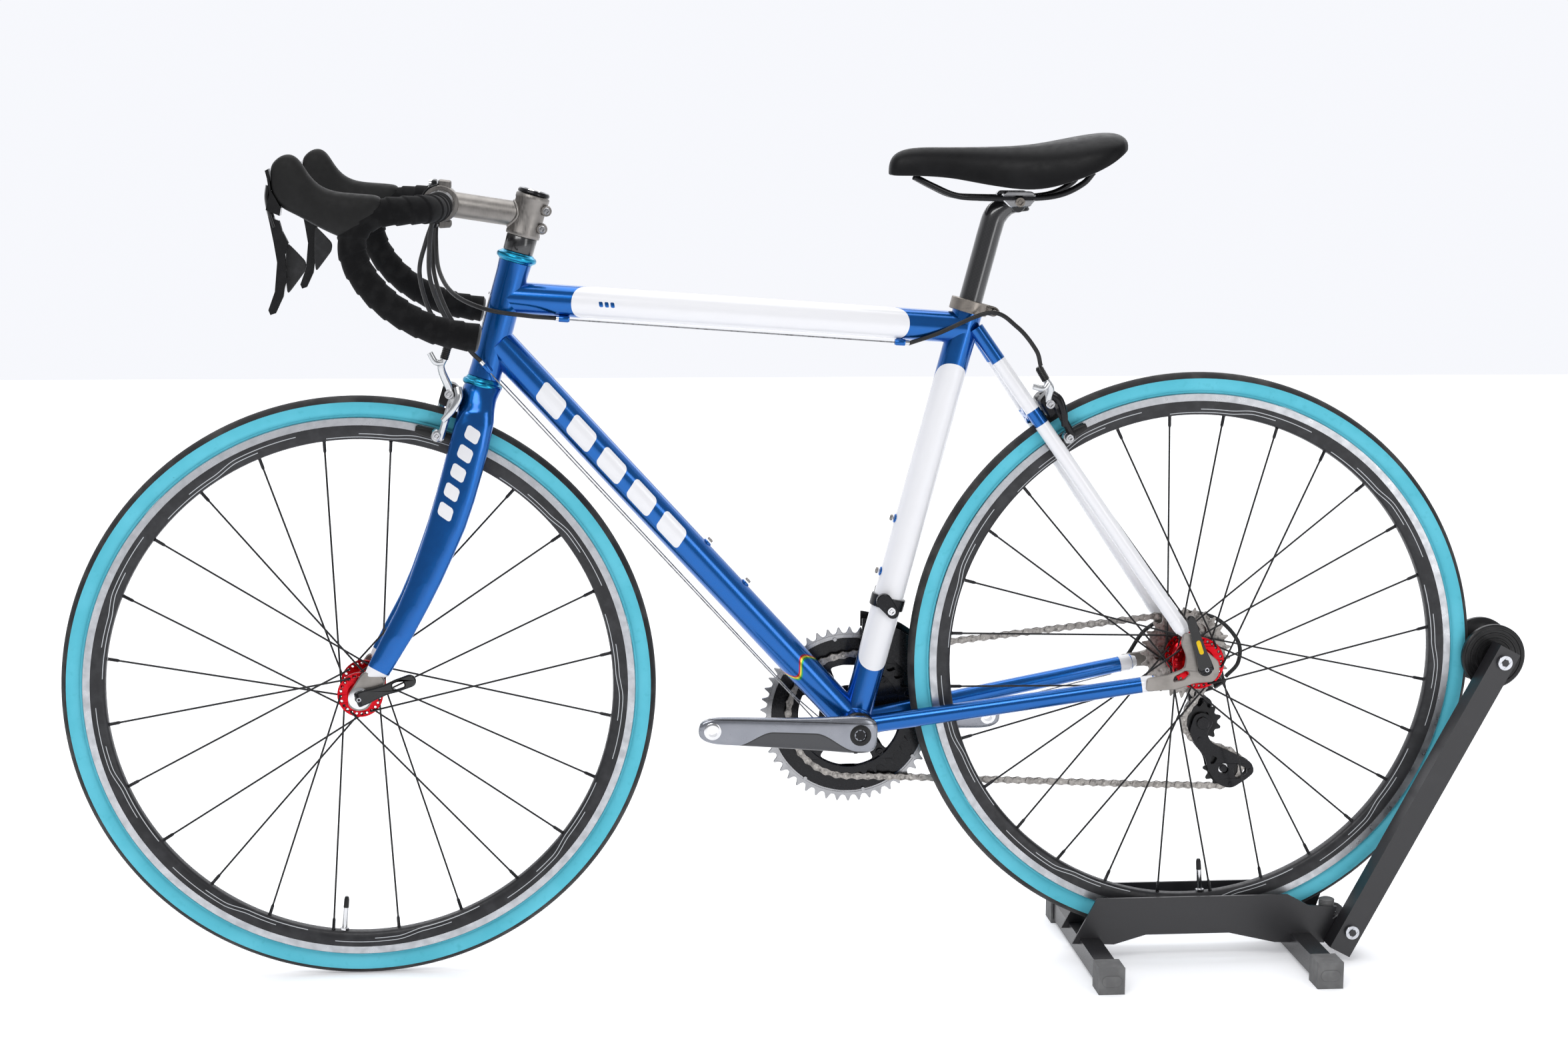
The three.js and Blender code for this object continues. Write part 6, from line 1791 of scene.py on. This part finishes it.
def cables():
    tube("brake_housing_front", through(FRONT_BRAKE_ROUTE, 12), HOUSING_RADIUS, HOUSING, "steering", 20,
         stands_for=("front_brake_cable",), slot="cable_black")
    for name, route, node in (("brake_housing_rear", REAR_BRAKE_FRONT, "rear_brake_cable"),
                              ("shift_housing_left", LEFT_SHIFT, "left_shift_cable"),
                              ("shift_housing_right", RIGHT_SHIFT, "right_shift_cable")):
        loose = tube(name, through(route, 14), HOUSING_RADIUS, HOUSING, None, 20, stands_for=(node,),
                     slot="cable_black")
        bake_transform(loose)
    tube("brake_housing_back", through(REAR_BRAKE_REAR, 12), HOUSING_RADIUS, HOUSING, "frame", 20)
    tube("brake_wire", straight((232, -10, 755.5), (622, -10, 727.8), 3), 0.8, WIRE, "frame", 12)
    tube("shift_wire_left", [(147, -24, 700), (155, -23, 690), (500, -14, 312), (545, -12, 262)], 0.8, WIRE,
         "frame", 12)
    tube("shift_wire_right", [(147, 24, 700), (155, 23, 690), (500, 14, 312), (556, 14, 262), (610, 26, 270),
                              (885, 76, 322), (905, 76, 345)], 0.8, WIRE, "frame", 12)
    tube("derailleur_housing", through(DERAILLEUR_ROUTE, 12), HOUSING_RADIUS, HOUSING, "frame", 20)


# ---------- stand ----------
def stand():
    bevelled("stand_base", POWDER, 0.9)
    bevelled("stand_arm", POWDER, 1.6)
    for node in frame["nodes"]:
        if node.startswith("stand_foot"):
            bevelled(node, FOOT_RUBBER, 2.2)
            low, high = cad_box(node)
            middle = Vector(((low.x + high.x) / 2, 0, (low.z + high.z) / 2))
            side = -1 if high.y < 0 else 1
            edge = low.y if side < 0 else high.y
            low_y, high_y = sorted((edge + side * 0.9, edge - side * 1.0))
            plate(f"{node}_button", [link((middle.x - 5, middle.z), 6.5, (middle.x + 5, middle.z), 6.49)],
                  low_y, high_y, FOOT_RUBBER, "stand", 0.5)
    profile = [(4.4, -27.2), (36.5, -27.2), (38, -26), (38, -21), (36.5, -19.6), (30, -14.5), (19, -14)]
    profile += [(r, -y) for r, y in profile[::-1]]
    turned("roller_skin", profile, ROLLER_AXIS, ACROSS, BLACK_PLASTIC, "stand_roller", 72,
           stands_for=("stand_roller",), slot="foot_rubber")
    for side in (-1, 1):
        for radius in (14, 20, 26, 32):
            ridge = [(radius, 27.0), (radius + 0.6, 28.2), (radius + 2.4, 28.2), (radius + 3, 27.0)]
            turned(f"roller_ridge_{radius}_{side_word(side)}", [(r, y * side) for r, y in ridge], ROLLER_AXIS,
                   ACROSS, BLACK_PLASTIC, "stand_roller", 64)
    hex_bolt("roller_bolt", (ROLLER_AXIS.x, -60.2, ROLLER_AXIS.z), (0, -1, 0), 8.6, 5, ZINC, "stand_arm")
    hex_bolt("arm_bolt", (ARM_FOOT.x, -60.2, ARM_FOOT.z), (0, -1, 0), 8.2, 4.5, ZINC, "stand_arm")
    bumper = [(0, 54), (8.6, 54)]
    for k in range(7):
        bumper += [(9.4, 54.6 + k * 1.8), (8.8, 55.5 + k * 1.8)]
    bumper += [(6, 67.5), (0, 67.5)]
    turned("arm_bumper", bumper, (1131, -20, 0), UP, FOOT_RUBBER, "stand", 36)


def floor():
    mesh = bpy.data.meshes.new("floor")
    mesh.from_pydata([(-7, -7, 0), (7, -7, 0), (7, 7, 0), (-7, 7, 0)], [], [(0, 1, 2, 3)])
    look = Look("floor", (0.9, 0.905, 0.91), 0.75, specular=0.25)
    look.set("Emission Color", (0.93, 0.94, 0.98, 1)).set("Emission Strength", 0.3)
    look.colour(look.mix(look.noise(1.2), (0.90, 0.905, 0.91), (0.92, 0.922, 0.925)))
    mesh.materials.append(look.material)
    ground = bpy.data.objects.new("floor", mesh)
    bpy.context.scene.collection.objects.link(ground)


# ---------- the whole scene ----------
CANDY = plain_candy()
TOP_PAINT = panelled_tube("top_tube_paint", 74, 457, TOP_RADIUS,
                          dict(first=104, pitch=6.5, count=3, half_length=2.2, half_height=3.0, slant=0.2))
DOWN_PAINT = barred_tube("down_tube_paint", DOWN_RADIUS, 505, first=62, pitch=50, count=5, half_length=18,
                         half_height=12.5, slant=0.25)
SEAT_PAINT = panelled_tube("seat_tube_paint", 68, 434, SEAT_RADIUS)
STAY_PAINT = stay_paint()
WHITE_PAINT = plain_white()
RAW_METAL = brushed("raw_titanium", (0.30, 0.28, 0.26), 0.38)
STEM_METAL = brushed("stem_titanium", (0.27, 0.255, 0.24), 0.4, (300, 60, 60))
TEAL = anodised("teal_anodised", (0.02, 0.28, 0.47), 0.26)
HUB_RED = anodised("hub_red", (0.50, 0.008, 0.015), 0.22)
YELLOW = anodised("release_inlay", (0.62, 0.42, 0.02), 0.35)
BADGE = brushed("badge_metal", (0.62, 0.62, 0.62), 0.3)
CLAMP = brushed("clamp_metal", (0.30, 0.27, 0.24), 0.33)
POLISHED = polished("polished_steel")
ZINC = polished("zinc", (0.56, 0.57, 0.60), 0.24)
BRAKE_SILVER = polished("brake_silver", (0.58, 0.59, 0.60), 0.22)
RING_SILVER = polished("ring_silver", (0.36, 0.36, 0.37), 0.24)
BLACK_METAL = black_metal("black_metal")
RING_BLACK = black_metal("ring_black", 0.24)
CRANK_DARK = black_metal("crank_dark", 0.3)
SPOKE = black_plastic("spoke_black", 0.008, 0.45)
BLACK_PLASTIC = black_plastic("black_plastic")
MATT_BLACK = black_plastic("matt_black", 0.014, 0.5, 0.00005)
GLOSS_BLACK = black_plastic("gloss_black", 0.006, 0.14, 0.00001, coat=0.35)
HOUSING = black_plastic("cable_housing", 0.012, 0.42)
WIRE = greasy_steel("cable_wire", (0.3, 0.3, 0.31), 0.3)
CHAIN_STEEL = greasy_steel("chain_steel")
CHAIN_PIN = greasy_steel("chain_pin", (0.42, 0.40, 0.37), 0.28)
WEAVE = carbon_weave("carbon")
LEATHER = leather_cover()
RAIL = black_metal("saddle_rail", 0.34)
TAPE = tape_cover()
HOOD_RUBBER = soft_rubber("hood_rubber", 0.008, 0.6)
PAD_RUBBER = soft_rubber("pad_rubber", 0.012, 0.75)
FOOT_RUBBER = soft_rubber("foot_rubber", 0.13, 0.75, 900)
TREAD, WALL = tread_rubber(), wall_rubber()
POWDER = powder_coat()

place_camera()
light_the_studio()
floor()
frame_tubes()
stays()
headset()
frame_fittings()
seat_clamp()
fork()
for end, axle in (("front", FRONT_AXLE), ("rear", REAR_AXLE)):
    tyre(f"{end}_tyre_rubber", axle, f"{end}_wheel")
    rim(end, axle, f"{end}_wheel")
valve("front", FRONT_AXLE, "front_wheel", math.radians(265))
valve("rear", REAR_AXLE, "rear_wheel", math.radians(-86))
spokes("front", FRONT_AXLE, "front_wheel", 24, ((-35, 22), (35, 22)))
spokes("rear", REAR_AXLE, "rear_wheel", 28, ((-37.5, 28), (15.2, 24)))
hubs()
quick_releases()
cage_and_rings()
chain()
cassette()
pulleys()
derailleurs()
bars()
stem()
saddle()
brakes()
cables()
stand()
